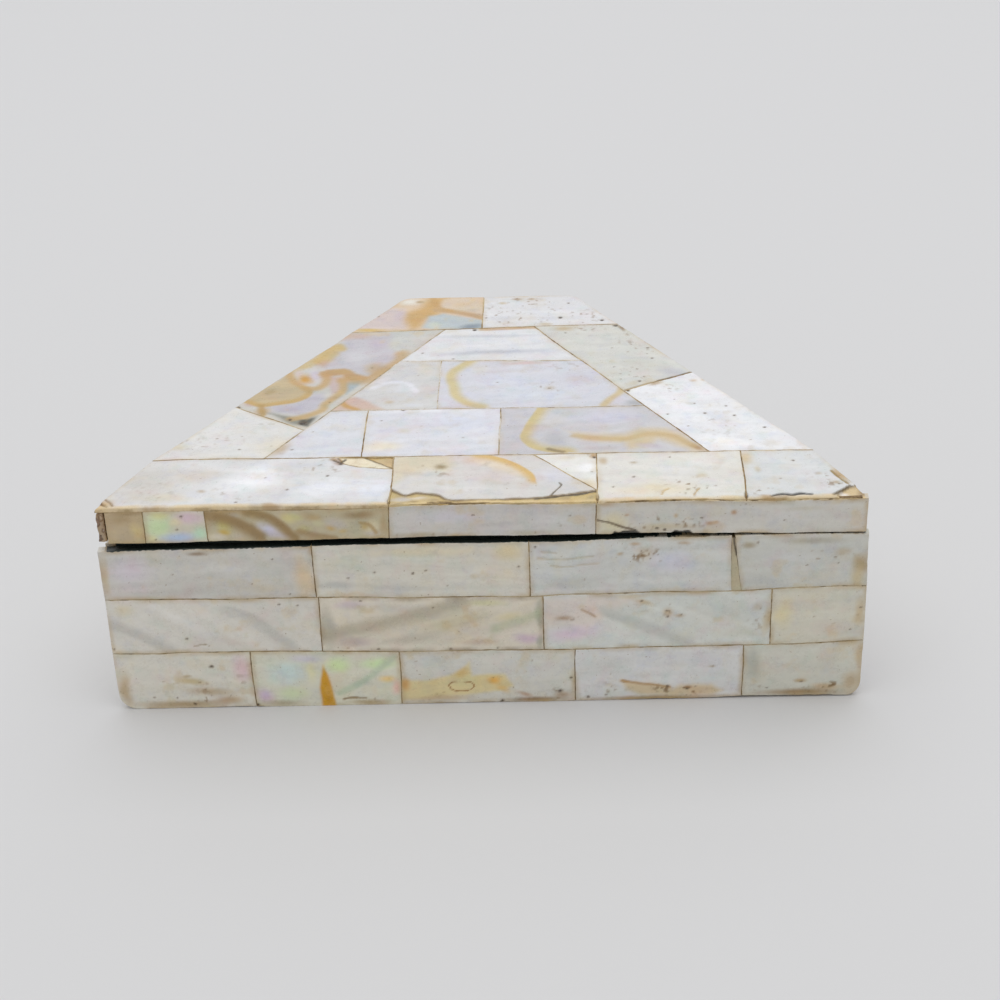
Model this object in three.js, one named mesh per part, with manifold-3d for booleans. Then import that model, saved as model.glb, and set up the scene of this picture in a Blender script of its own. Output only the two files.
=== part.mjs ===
// A small mother-of-pearl box with a loose lid, in millimetres, +Z up.
// Its plan is a triangle with the back corner cut off, and its long front faces -Y.
// The origin lies on the ground under the middle of the box.
// Six wooden boards carry the shell plaques, which lie in courses like brickwork.
import * as THREE from 'three';
import * as BufferGeometryUtils from 'three/addons/utils/BufferGeometryUtils.js';
import Module from 'manifold-3d';

// Plan of the box, with depths measured back from the front face
const depth = 75.6;
const halfFrontBody = 62.9;
const halfFrontLid = 62.4;
const halfBend = 55; // the ground-back front corners meet the straight sides here
const bendDepth = 15.2;
const halfBack = 16;
const backCornerRadius = 3;

// Boards and plaques
const wallThick = 5;
const bottomThick = 4;
const bodyHeight = 32.4;
const sideShell = 1.6; // plaques on the upright faces
const topShell = 1; // plaques on the lid
const glue = 0.2; // bed of glue behind every plaque
const seam = 0.3; // open joint between plaques
const chamfer = 0.25; // rubbed edge of a plaque
const footRadius = 3; // worn lower edge of the sides and the back
const grooveDepth = 0.6; // joint cut into a course that is made as one

// Lid
const lidThick = 6.9;
const lidBoardThick = lidThick - topShell - glue;
const rimLow = 0.1; // lower edge of the rim plaques above the lid board's underside
const rebateDepth = 2; // the underside steps down into the box
const rebateClearance = 0.75;
const restGap = 0.1;
const lidLean = THREE.MathUtils.degToRad(0.4); // the lid sits lower on its right

// Courses of the body from the ground up: heights, and joints from left to right in each face
const courses = [
  { name: 'low', low: 0.2, high: 11.4, front: [-39.6, -14.65, 14.9, 42.9], side: [24, 52], back: [] },
  { name: 'middle', low: 11.4, high: 22.2, front: [-27.4, 9.7, 47.4], side: [36, 66], back: [2] },
  { name: 'high', low: 22.2, high: bodyHeight, front: [-27.7, 7.6, 41.1], side: [22, 50], back: [] },
];
const rim = { name: 'rim', low: rimLow, high: lidBoardThick, front: [-54.7, -44.5, -14.8, 18.7], side: [30, 60], back: [-3] };
const rimFrontStart = -60.9; // the left rim plaque runs out to the front here

// Seams of the lid's top, each from one point to another on the plan
const frontStripSeam = [[-70, bendDepth], [70, bendDepth]];
const backStripSeam = [[-26, 61.5], [24, 63.2]];
const leftStripSeam = [[-36.5, 15], [-8.4, 61.3]];
const rightStripSeam = [[8.9, 61.9], [37.8, 15.3]];
const leftStripJoint = [[-42.9, 33.1], [-30.8, 24.8]];
const rightStripJoint = [[24.8, 37.1], [36.1, 43.4]];
const fieldRows = [
  { back: 31.4, joints: [-20, 2.85] },
  { back: 49.2, joints: [-8.1] },
  { back: depth, joints: [] },
];
const frontStripJoints = [-14.6, 19, 42.9];
const backStripJoints = [-1];
const shardCrack = [[8.3, 15.5], [18.9, 3.4]]; // splits the second plaque of the front strip
const chips = {
  top_front_1: { depth: 0.45, outline: [[-24, 16], [-22.8, 12.7], [-14, 11.4], [-14, 16]] },
  top_front_2: {
    depth: 0.45,
    outline: [[-16, 5.5], [-12, 3], [-9.8, 3], [-5.2, 0.9], [9, 1.3], [20, 3], [20, -1], [-16, -1]],
  },
  top_front_4: { depth: 0.7, outline: [[57, -1], [57, 0.3], [58.5, 3], [64, 5], [64, -1]] },
};

const woodMaterial = { color: 0x4a3826, roughness: 0.85, metalness: 0 };
const shellMaterial = { color: 0xdedad2, roughness: 0.28, metalness: 0 };

const wasm = await Module();
wasm.setup();

// --- outlines -------------------------------------------------------------

// The six corners of the plan, anticlockwise from the front left
function planCorners(halfFront) {
  const right = [[halfFront, 0], [halfBend, bendDepth], [halfBack, depth]];
  const left = right.map(([x, y]) => [-x, y]).reverse();
  return [left[2], ...right, left[0], left[1]].map(([x, y]) => new THREE.Vector2(x, y));
}

// Where two lines meet, each given by a point and a direction
function meet(a, b) {
  const between = b.point.clone().sub(a.point);
  return a.point.clone().addScaledVector(a.along, between.cross(b.along) / a.along.cross(b.along));
}

// Moves every side of an outline inwards by the same distance
function insetOutline(points, distance) {
  const sides = points.map((point, i) => {
    const along = points[(i + 1) % points.length].clone().sub(point).normalize();
    const inward = new THREE.Vector2(-along.y, along.x);
    return { point: point.clone().addScaledVector(inward, distance), along };
  });
  return sides.map((side, i) => meet(sides.at(i - 1), side));
}

// Rounds the corners of an outline that lie at the back
function roundBackCorners(points, radius) {
  const steps = 4;
  return points.flatMap((corner, i) => {
    if (corner.y < depth - 1) return [corner];
    const before = points.at(i - 1).clone().sub(corner).normalize();
    const after = points[(i + 1) % points.length].clone().sub(corner).normalize();
    const halfAngle = Math.acos(before.dot(after)) / 2;
    const middle = before.clone().add(after).normalize();
    const centre = corner.clone().addScaledVector(middle, radius / Math.sin(halfAngle));
    const start = Math.atan2(-before.x, before.y);
    return Array.from({ length: steps + 1 }, (_, k) => {
      const turn = (Math.PI - 2 * halfAngle) * (k / steps) - Math.PI;
      const angle = start + turn;
      return new THREE.Vector2(centre.x + radius * Math.cos(angle), centre.y + radius * Math.sin(angle));
    });
  });
}

// The part of an outline on the left of the line from a to b, kept back from it by a margin
function leftOf(points, a, b, margin) {
  const along = new THREE.Vector2(b[0] - a[0], b[1] - a[1]).normalize();
  const side = (p) => along.x * (p.y - a[1]) - along.y * (p.x - a[0]) - margin;
  return points.flatMap((point, i) => {
    const next = points[(i + 1) % points.length];
    const here = side(point);
    const there = side(next);
    const kept = here >= 0 ? [point] : [];
    if (here * there < 0) kept.push(point.clone().lerp(next, here / (here - there)));
    return kept;
  });
}

// Both parts of an outline, left and right of a seam, with the open joint between them
function split(points, [a, b]) {
  return [leftOf(points, a, b, seam / 2), leftOf(points, b, a, seam / 2)];
}

// Cuts a strip that runs from left to right at each joint
function splitAlong(points, joints) {
  const pieces = [];
  let rest = points;
  for (const x of joints) {
    const [left, right] = split(rest, [[x, 0], [x, depth]]);
    pieces.push(left);
    rest = right;
  }
  return [...pieces, rest];
}

// --- solids ---------------------------------------------------------------

// An upright prism over an outline, with its edges chamfered where a chamfer is given
function prism(points, low, high, bevel = 0) {
  const geometry = new THREE.ExtrudeGeometry(new THREE.Shape(points), {
    depth: high - low - 2 * bevel,
    bevelEnabled: bevel > 0,
    bevelSize: bevel,
    bevelThickness: bevel,
    bevelOffset: -bevel,
    bevelSegments: 1,
  });
  return geometry.translate(0, 0, low + bevel);
}

function toSolid(geometry) {
  geometry.deleteAttribute('normal');
  geometry.deleteAttribute('uv');
  const merged = BufferGeometryUtils.mergeVertices(geometry, 1e-5);
  return new wasm.Manifold(new wasm.Mesh({
    numProp: 3,
    vertProperties: merged.attributes.position.array,
    triVerts: new Uint32Array(merged.index.array),
  }));
}

function toGeometry(solid) {
  const mesh = solid.getMesh();
  const geometry = new THREE.BufferGeometry();
  geometry.setAttribute('position', new THREE.BufferAttribute(mesh.vertProperties, 3));
  geometry.setIndex(new THREE.BufferAttribute(mesh.triVerts, 1));
  geometry.computeVertexNormals();
  return geometry;
}

// An upright block over a rectangle of the plan
function block(left, right, front, back, low, high) {
  const corners = [[left, front], [right, front], [right, back], [left, back]];
  return toSolid(prism(corners.map(([x, y]) => new THREE.Vector2(x, y)), low, high));
}

// A bar with a hollow quarter-round section that rubs the lower edge of one side round
function footCutter(a, b) {
  const section = new THREE.Shape();
  section.moveTo(-1, -1);
  section.lineTo(footRadius, -1);
  section.lineTo(footRadius, 0);
  section.absarc(footRadius, footRadius, footRadius, -Math.PI / 2, -Math.PI, true);
  section.lineTo(-1, footRadius);
  const overrun = 6;
  const length = a.distanceTo(b) + 2 * overrun;
  const bar = new THREE.ExtrudeGeometry(section, { depth: length, bevelEnabled: false, curveSegments: 5 });
  const along = new THREE.Vector3(b.x - a.x, b.y - a.y, 0).normalize();
  const inward = new THREE.Vector3(-along.y, along.x, 0);
  const place = new THREE.Matrix4().makeBasis(inward, new THREE.Vector3(0, 0, 1), along);
  place.setPosition(a.x - overrun * along.x, a.y - overrun * along.y, 0);
  return toSolid(bar.applyMatrix4(place));
}

function named(name, geometry, look) {
  const mesh = new THREE.Mesh(geometry, new THREE.MeshStandardMaterial(look));
  mesh.name = name;
  return mesh;
}

// --- wooden body ----------------------------------------------------------

const bodyPlan = planCorners(halfFrontBody);
const woodPlan = insetOutline(bodyPlan, sideShell + glue);

// The hollow is a plain trapezium, so that each side board has one straight inner face
function hollowPlan(inset) {
  const [frontLeft, frontRight, , backRight, backLeft] = insetOutline(bodyPlan, sideShell + glue + wallThick);
  return insetOutline([frontLeft, frontRight, backRight, backLeft], inset);
}

function woodenBody() {
  const body = new THREE.Group();
  const [frontLeft, frontRight, bendRight, backRight, backLeft, bendLeft] = woodPlan;
  const [innerFrontLeft, innerFrontRight, innerBackRight, innerBackLeft] = hollowPlan(0);
  const boards = {
    front_board: [frontLeft, frontRight, innerFrontRight, innerFrontLeft],
    right_board: [frontRight, bendRight, backRight, innerBackRight, innerFrontRight],
    back_board: [backRight, backLeft, innerBackLeft, innerBackRight],
    left_board: [backLeft, bendLeft, frontLeft, innerFrontLeft, innerBackLeft],
  };
  for (const [name, points] of Object.entries(boards)) {
    body.add(named(name, prism(points, bottomThick, bodyHeight), woodMaterial));
  }
  let bottom = toSolid(prism(woodPlan, 0, bottomThick));
  for (const cutter of footCutters) bottom = bottom.subtract(cutter);
  body.add(named('bottom_board', toGeometry(bottom), woodMaterial));
  return body;
}

// --- plaques on the upright faces ------------------------------------------

// A V-shaped groove at each joint along one slanting side, measured from the front
function sideGrooves(plan, isLeft, joints, low, high) {
  const [, , bendRight, backRight, backLeft, bendLeft] = plan;
  const [bend, back] = isLeft ? [bendLeft, backLeft] : [bendRight, backRight];
  const along = back.clone().sub(bend).normalize();
  const inward = isLeft ? new THREE.Vector2(along.y, -along.x) : new THREE.Vector2(-along.y, along.x);
  return joints.map((y) => {
    const mouth = bend.clone().addScaledVector(along, (y - bendDepth) / along.y);
    const points = [
      mouth.clone().addScaledVector(along, -seam).addScaledVector(inward, -0.1),
      mouth.clone().addScaledVector(along, seam).addScaledVector(inward, -0.1),
      mouth.clone().addScaledVector(inward, grooveDepth),
    ];
    return toSolid(prism(THREE.ShapeUtils.isClockWise(points) ? points.reverse() : points, low, high));
  });
}

// One course: a ring of shell cut into front plaques, two side plaques and a back plaque
function coursePlaques(course, plan, frontStart, cutters) {
  const { name, low, high, front, side, back } = course;
  const [below, above] = [low - 1, high + 1];
  const shellLow = low + seam / 2;
  const shellHigh = high - seam / 2;
  const outer = toSolid(prism(roundBackCorners(plan, backCornerRadius), shellLow, shellHigh, chamfer));
  let ring = outer.subtract(toSolid(prism(insetOutline(plan, sideShell), below, above)));
  for (const cutter of cutters) ring = ring.subtract(cutter);

  const group = new THREE.Group();
  const wide = halfFrontBody + 10;
  const ends = [frontStart, ...front, wide];
  for (let i = 0; i + 1 < ends.length; i += 1) {
    const left = ends[i] + seam / 2;
    const right = ends[i + 1] - seam / 2;
    const points = [
      [left, sideShell], [left, chamfer], [left + chamfer, 0], [left + chamfer, -1],
      [right - chamfer, -1], [right - chamfer, 0], [right, chamfer], [right, sideShell],
    ];
    const cell = toSolid(prism(points.map(([x, y]) => new THREE.Vector2(x, y)), below, above));
    group.add(named(`${name}_front_${i + 1}`, toGeometry(ring.intersect(cell)), shellMaterial));
  }

  const frontBand = block(frontStart - seam / 2, wide, -1, sideShell + glue, below, above);
  const backBand = block(-wide, wide, depth - sideShell - glue, depth + 1, below, above);
  for (const [word, left, right] of [['left', -wide, 0], ['right', 0, wide]]) {
    const half = block(left, right, -1, depth + 1, below, above);
    let plaque = ring.intersect(half).subtract(frontBand).subtract(backBand);
    for (const groove of sideGrooves(plan, word === 'left', side, below, above)) {
      plaque = plaque.subtract(groove);
    }
    group.add(named(`${name}_${word}`, toGeometry(plaque), shellMaterial));
  }

  let backPlaque = ring.intersect(block(-wide, wide, depth - sideShell, depth + 1, below, above));
  for (const x of back) {
    const groove = [[x - seam, depth + 0.1], [x, depth - grooveDepth], [x + seam, depth + 0.1]];
    const points = groove.map(([u, v]) => new THREE.Vector2(u, v));
    backPlaque = backPlaque.subtract(toSolid(prism(points, below, above)));
  }
  group.add(named(`${name}_back`, toGeometry(backPlaque), shellMaterial));
  return group;
}

// --- plaques on the lid's top ----------------------------------------------

function topOutlines() {
  const plan = roundBackCorners(planCorners(halfFrontLid), backCornerRadius);
  const [behindFront, frontStrip] = split(plan, frontStripSeam);
  const [backStrip, middle] = split(behindFront, backStripSeam);
  const [leftStrip, rightOfLeft] = split(middle, leftStripSeam);
  const [rightStrip, field] = split(rightOfLeft, rightStripSeam);
  const [leftBack, leftFront] = split(leftStrip, leftStripJoint);
  const [rightBack, rightFront] = split(rightStrip, rightStripJoint);
  const [first, second, ...others] = splitAlong(frontStrip, frontStripJoints);
  const [shard, cracked] = split(second, shardCrack);

  const outlines = {};
  [first, cracked, ...others].forEach((points, i) => { outlines[`top_front_${i + 1}`] = points; });
  outlines.top_front_shard = shard;
  Object.assign(outlines, { top_left_1: leftFront, top_left_2: leftBack });
  Object.assign(outlines, { top_right_1: rightFront, top_right_2: rightBack });
  splitAlong(backStrip, backStripJoints).forEach((points, i) => { outlines[`top_back_${i + 1}`] = points; });
  let rest = field;
  let count = 0;
  for (const row of fieldRows) {
    const [behind, strip] = split(rest, [[-70, row.back], [70, row.back]]);
    for (const points of splitAlong(strip, row.joints)) {
      count += 1;
      outlines[`top_field_${count}`] = points;
    }
    rest = behind;
  }
  return outlines;
}

function topPlaques() {
  const group = new THREE.Group();
  for (const [name, points] of Object.entries(topOutlines())) {
    let plaque = toSolid(prism(points, lidThick - topShell, lidThick, chamfer));
    if (chips[name]) {
      const chip = chips[name].outline.map(([x, y]) => new THREE.Vector2(x, y));
      if (THREE.ShapeUtils.isClockWise(chip)) chip.reverse();
      plaque = plaque.subtract(toSolid(prism(chip, lidThick - chips[name].depth, lidThick + 1)));
    }
    group.add(named(name, toGeometry(plaque), shellMaterial));
  }
  return group;
}

// --- whole box --------------------------------------------------------------

const footCutters = bodyPlan.map((corner, i) => [corner, bodyPlan[(i + 1) % bodyPlan.length]])
  .slice(1)
  .map(([a, b]) => footCutter(a, b));

const box = new THREE.Group();
box.position.y = -depth / 2;
box.add(woodenBody());
for (const course of courses) {
  box.add(coursePlaques(course, bodyPlan, -halfFrontBody - 10, course.name === 'low' ? footCutters : []));
}

const lid = new THREE.Group();
lid.position.z = bodyHeight + restGap + halfFrontLid * Math.sin(lidLean);
lid.rotation.y = lidLean;
const lidPlan = planCorners(halfFrontLid);
const lidBoard = toSolid(prism(insetOutline(lidPlan, sideShell + glue), 0, lidBoardThick));
const rebate = toSolid(prism(hollowPlan(rebateClearance), -rebateDepth, 1));
lid.add(named('lid_board', toGeometry(lidBoard.add(rebate)), woodMaterial));
lid.add(coursePlaques(rim, lidPlan, rimFrontStart, []));
lid.add(topPlaques());
box.add(lid);

export default box;
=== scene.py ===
# A small mother-of-pearl box: wooden boards, shell plaques laid like brickwork, and a loose lid.
# Lengths in this script are millimetres; metres are made where a mesh or a light is made.
import bpy
import math
import numpy as np
from mathutils import Matrix, Vector


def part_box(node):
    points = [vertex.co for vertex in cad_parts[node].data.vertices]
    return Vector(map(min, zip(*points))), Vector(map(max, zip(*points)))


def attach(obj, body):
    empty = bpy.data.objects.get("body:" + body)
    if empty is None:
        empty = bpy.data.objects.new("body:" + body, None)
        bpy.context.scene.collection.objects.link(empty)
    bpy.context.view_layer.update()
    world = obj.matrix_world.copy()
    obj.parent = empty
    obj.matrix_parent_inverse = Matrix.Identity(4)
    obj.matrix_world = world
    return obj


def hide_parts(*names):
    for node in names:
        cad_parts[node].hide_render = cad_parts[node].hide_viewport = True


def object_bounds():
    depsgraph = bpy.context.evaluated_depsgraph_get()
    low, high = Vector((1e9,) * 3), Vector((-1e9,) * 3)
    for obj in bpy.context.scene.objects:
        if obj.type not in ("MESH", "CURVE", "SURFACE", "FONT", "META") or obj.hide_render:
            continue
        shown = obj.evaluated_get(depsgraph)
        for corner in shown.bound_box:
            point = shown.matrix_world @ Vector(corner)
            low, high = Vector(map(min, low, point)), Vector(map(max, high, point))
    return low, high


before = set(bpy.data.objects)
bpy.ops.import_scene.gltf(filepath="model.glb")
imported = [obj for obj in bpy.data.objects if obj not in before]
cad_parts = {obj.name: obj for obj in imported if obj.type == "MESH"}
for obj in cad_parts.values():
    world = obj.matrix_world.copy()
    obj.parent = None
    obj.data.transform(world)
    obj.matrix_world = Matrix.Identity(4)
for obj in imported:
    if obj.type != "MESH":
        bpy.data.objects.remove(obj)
cadBox = [list(corner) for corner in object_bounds()]
mm = 0.001

# Sizes of the box; depths run back from the front face
boxSize = {
    "halfFront": cadBox[1][0] / mm,
    "depth": (cadBox[1][1] - cadBox[0][1]) / mm,
    "bodyHigh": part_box("front_board")[1][2] / mm,
    "halfBend": 55,  # half the width at the bends in the sides
    "bendDepth": 15.2,
    "bendRound": 12,
    "halfBack": 16,
    "backRound": 3,
    "footRound": 3,  # how high the lowest edge is rubbed round
    "sideStart": 1.85,  # depth at which the side plaques begin, behind the front ones
    "rimStart": 1,  # and on the lid's left side, where the plaque comes further forward
    "backCorner": 73.8,  # depth at which the side and back plaques meet
    "backBend": (14.5, 75.59),  # where the bend into the straight back ends
    "sideShell": 1.6,
    "topShell": 1,
    "seam": 0.1,  # open joint between two plaques that show
    "wallSeam": 0.16,  # and between the courses of the sides and back
}
lid = {"halfFront": 62.4, "thick": 6.9, "lean": math.radians(0.4), "restGap": 0.1}
lid["rise"] = boxSize["bodyHigh"] + lid["restGap"] + lid["halfFront"] * math.sin(lid["lean"])


def hexColour(text):
    # one sRGB hex colour as linear red, green, blue
    values = np.array([int(text[i:i + 2], 16) for i in (0, 2, 4)]) / 255
    return np.where(values <= 0.04045, values / 12.92, ((values + 0.055) / 1.055) ** 2.4)


def smoothStep(low, high, values):
    # 0 below low, 1 above high, and an S curve between
    part = np.clip((values - low) / (high - low), 0, 1)
    return part * part * (3 - 2 * part)


def softNoise(a, b, size, seed):
    # random numbers on a square lattice of this cell size, joined by smooth steps, from -1 to 1
    u, v = a / size, b / size
    iu, iv = np.floor(u).astype(np.int64), np.floor(v).astype(np.int64)
    fu, fv = smoothStep(0, 1, u - iu), smoothStep(0, 1, v - iv)

    def corner(du, dv):
        # the number of one lattice corner, mixed from its place and the seed
        mixed = ((iu + du) * 374761393 + (iv + dv) * 668265263 + seed * 362437) & 0x7fffffff
        mixed = ((mixed ^ (mixed >> 13)) * 1274126177) & 0x7fffffff
        return ((mixed ^ (mixed >> 16)) & 0xffff) / 32767.5 - 1

    low = corner(0, 0) * (1 - fu) + corner(1, 0) * fu
    high = corner(0, 1) * (1 - fu) + corner(1, 1) * fu
    return low * (1 - fv) + high * fv


def layeredNoise(a, b, size, seed, layers=4):
    # soft noise summed at halving sizes and strengths
    total = np.zeros(np.shape(a))
    for k in range(layers):
        total = total + softNoise(a, b, size / 2 ** k, seed + 17 * k) / 2 ** k
    return total / (2 - 2 ** (1 - layers))


def turned(a, b, degrees):
    # the distances along and across a direction: a cos + b sin, and b cos - a sin
    cosine, sine = math.cos(math.radians(degrees)), math.sin(math.radians(degrees))
    return a * cosine + b * sine, b * cosine - a * sine


def nearestOn(a, b, line, closed=False):
    # distance from every point to a line of straight pieces, the least of those to its pieces,
    # and which side it lies on (left is positive)
    line = np.asarray(line, float)
    if closed:
        line = np.vstack([line, line[:1]])
    best = np.full(np.shape(a), 1e9)
    side = np.ones(np.shape(a))
    for (x0, y0), (x1, y1) in zip(line[:-1], line[1:]):
        run = (x1 - x0, y1 - y0)
        span = max(run[0] ** 2 + run[1] ** 2, 1e-12)
        part = np.clip(((a - x0) * run[0] + (b - y0) * run[1]) / span, 0, 1)
        away = np.hypot(a - x0 - part * run[0], b - y0 - part * run[1])
        closer = away < best
        best = np.where(closer, away, best)
        side = np.where(closer, np.sign(run[0] * (b - y0) - run[1] * (a - x0)), side)
    return best, side


def inside(a, b, outline):
    # True for the points inside a closed outline: a ray to the right crosses it an odd number of times
    outline = np.asarray(outline, float)
    odd = np.zeros(np.shape(a), bool)
    for (x0, y0), (x1, y1) in zip(outline, np.roll(outline, -1, axis=0)):
        crosses = (y0 > b) != (y1 > b)
        at = x0 + (b - y0) * (x1 - x0) / (y1 - y0 if y1 != y0 else 1e-9)
        odd ^= crosses & (a < at)
    return odd


def depthInside(a, b, outline):
    # how far in from a closed outline every point lies, below 0 outside it
    away, _ = nearestOn(a, b, outline, closed=True)
    return np.where(inside(a, b, outline), away, -away)


def rounded(points, steps=6):
    # a smooth curve through a few points: each stretch is a cubic whose slope at a point is half the step
    # from the point before to the point after
    points = np.asarray(points, float)
    if len(points) < 3:
        return points
    padded = np.vstack([2 * points[0] - points[1], points, 2 * points[-1] - points[-2]])
    t = np.linspace(0, 1, steps, endpoint=False)[:, None]
    parts = []
    for p0, p1, p2, p3 in zip(padded, padded[1:], padded[2:], padded[3:]):
        parts.append(0.5 * (2 * p1 + (p2 - p0) * t + (2 * p0 - 5 * p1 + 4 * p2 - p3) * t ** 2
                            + (3 * p1 - p0 - 3 * p2 + p3) * t ** 3))
    return np.vstack([*parts, points[-1:]])


def fromFront(x, y, z):
    # body millimetres, with y back from the front face, to the world's metres
    return np.stack([x, y - boxSize["depth"] / 2, z], axis=-1) * mm


def fromLid(x, y, z):
    # the same for the lid, which leans down to its right
    cosine, sine = math.cos(lid["lean"]), math.sin(lid["lean"])
    return fromFront(x * cosine + z * sine, y, z * cosine - x * sine + lid["rise"])


def wallPath(halfFront):
    # the plan of the sides and back, from the front right corner round to the front left:
    # straight stretches joined by arcs, with the distance along it and the heading at each point
    bends = [(halfFront, 0, 0), (boxSize["halfBend"], boxSize["bendDepth"], boxSize["bendRound"]),
             (boxSize["halfBack"], boxSize["depth"], boxSize["backRound"])]
    bends += [(-x, y, radius) for x, y, radius in bends[::-1]]
    points = np.array([bend[:2] for bend in bends], float)
    along = np.diff(points, axis=0)
    along /= np.hypot(*along.T)[:, None]
    headings = np.unwrap(np.arctan2(along[:, 1], along[:, 0]))
    path = [points[0]]
    turns = [headings[0]]
    for k in range(1, 5):
        radius = bends[k][2]
        turn = headings[k] - headings[k - 1]
        start = points[k] - along[k - 1] * radius * math.tan(turn / 2)
        centre = start + radius * np.array([-along[k - 1][1], along[k - 1][0]])
        sweep = np.linspace(headings[k - 1], headings[k], 13)
        path.extend(centre + radius * np.stack([np.sin(sweep), -np.cos(sweep)], axis=-1))
        turns.extend(sweep)
    path.append(points[5])
    turns.append(headings[4])
    path = np.array(path)
    reach = np.concatenate([[0], np.cumsum(np.hypot(*np.diff(path, axis=0).T))])
    return {"reach": reach, "path": path, "turn": np.array(turns), "length": reach[-1]}


bodyPath = wallPath(boxSize["halfFront"])
lidPath = wallPath(lid["halfFront"])


def onPath(path, u, out):
    # a point at distance u along the plan, stood off outwards
    x = np.interp(u, path["reach"], path["path"][:, 0])
    y = np.interp(u, path["reach"], path["path"][:, 1])
    turn = np.interp(u, path["reach"], path["turn"])
    return x + out * np.sin(turn), y - out * np.cos(turn)


def alongAtDepth(path, depth, leftSide):
    # the distance along the plan at which a side stands this far back
    half = len(path["reach"]) // 2
    if leftSide:
        return np.interp(-depth, -path["path"][half:, 1], path["reach"][half:])
    return np.interp(depth, path["path"][:half, 1], path["reach"][:half])


# Each face turns its own two directions a and b, and the height out of the wood, into the world
def lidTopFace(a, b, out):
    # a to the right and b back
    return fromLid(a, b, lid["thick"] - boxSize["topShell"] + out)


def bodyFrontFace(a, b, out):
    # a to the right and b up
    return fromFront(a, boxSize["sideShell"] - out, b)


def lidFrontFace(a, b, out):
    # a to the right and b up the lid
    return fromLid(a, boxSize["sideShell"] - out, b)


def bodyWallFace(a, b, out):
    # a along the plan and b up
    x, y = onPath(bodyPath, a, out - boxSize["sideShell"])
    return fromFront(x, y, b)


def lidWallFace(a, b, out):
    # a along the plan and b up the lid
    x, y = onPath(lidPath, a, out - boxSize["sideShell"])
    return fromLid(x, y, b)


def heightsOver(points, start, end):
    # the signed distance of each point from a line, (point - start) x direction, and the line's direction
    start, end = np.asarray(start, float), np.asarray(end, float)
    along = (end - start) / np.hypot(*(end - start))
    return along[0] * (points[:, 1] - start[1]) - along[1] * (points[:, 0] - start[0]), along


def edgesOf(points, heights):
    # each point of an outline and the next one, with the heights of both
    return zip(points, np.roll(points, -1, axis=0), heights, np.roll(heights, -1))


def keepLeft(points, start, end, margin):
    # the part of a convex outline on the left of a line, kept back from it by a margin
    kept = []
    for point, after, here, there in edgesOf(points, heightsOver(points, start, end)[0] - margin):
        if here >= 0:
            kept.append(point)
        if here * there < 0:
            kept.append(point + (after - point) * here / (here - there))
    return np.array(kept)


def split(points, start, end):
    # both parts of an outline, left and right of a seam
    half = boxSize["seam"] / 2
    return keepLeft(points, start, end, half), keepLeft(points, end, start, half)


def chord(points, start, end):
    # the stretch of a line that lies inside a convex outline
    heights, along = heightsOver(points, start, end)
    crossings = [point + (after - point) * here / (here - there)
                 for point, after, here, there in edgesOf(points, heights) if here * there < 0]
    return sorted(crossings, key=lambda point: float(np.dot(point - start, along)))


def rowsAcross(length, step, close):
    # positions from 0 to 1: at the given close distances from both ends, and evenly between
    near = np.array(close) / length
    near = near[near < 0.3]
    count = max(2, int(round((1 - 2 * near[-1]) * length / step)))
    between = np.linspace(near[-1], 1 - near[-1], count + 1)
    return np.concatenate([near[:-1], between, (1 - near[:-1])[::-1]])


def atShare(line, share):
    # points at given shares of the length of a line of straight pieces
    reach = np.concatenate([[0], np.cumsum(np.hypot(*np.diff(line, axis=0).T))])
    return np.stack([np.interp(share * reach[-1], reach, line[:, k]) for k in (0, 1)], axis=-1)


def fourSides(outline):
    # an anticlockwise outline as four sides between its four sharpest corners
    if len(outline) == 3:
        lengths = np.hypot(*(np.roll(outline, -1, axis=0) - outline).T)
        k = int(np.argmax(lengths))
        outline = np.insert(outline, k + 1, (outline[k] + outline[(k + 1) % 3]) / 2, axis=0)
    before = outline - np.roll(outline, 1, axis=0)
    after = np.roll(outline, -1, axis=0) - outline
    turn = np.arctan2(before[:, 0] * after[:, 1] - before[:, 1] * after[:, 0], (before * after).sum(axis=1))
    corners = sorted(np.argsort(-turn)[:4])
    first = min(range(4), key=lambda k: outline[corners[k]].sum())
    corners = corners[first:] + corners[:first]
    sides = []
    for k in range(4):
        start, end = corners[k], corners[(k + 1) % 4]
        count = (end - start) % len(outline)
        sides.append(np.array([outline[(start + i) % len(outline)] for i in range(count + 1)]))
    bottom, right, top, left = sides
    return bottom, right, top[::-1], left[::-1]


def patchGrid(outline, step, close):
    # a grid stretched between four sides: the sum of the two ways across, less the corners' own share
    bottom, right, top, left = fourSides(outline)
    across = max(np.hypot(*np.diff(bottom, axis=0).T).sum(), np.hypot(*np.diff(top, axis=0).T).sum())
    up = max(np.hypot(*np.diff(left, axis=0).T).sum(), np.hypot(*np.diff(right, axis=0).T).sum())
    s, t = rowsAcross(across, step, close), rowsAcross(up, step, close)
    low, high = atShare(bottom, s)[None], atShare(top, s)[None]
    west, east = atShare(left, t)[:, None], atShare(right, t)[:, None]
    s, t = s[None, :, None], t[:, None, None]
    grid = (1 - t) * low + t * high + (1 - s) * west + s * east
    return grid - ((1 - s) * (1 - t) * bottom[0] + s * (1 - t) * bottom[-1]
                   + (1 - s) * t * top[0] + s * t * top[-1])


def ringOf(rows, columns):
    # the border of a grid, anticlockwise from its first point
    index = np.arange(rows * columns).reshape(rows, columns)
    return np.concatenate([index[0], index[1:, -1], index[-1, -2::-1], index[-2:0:-1, 0]])


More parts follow.
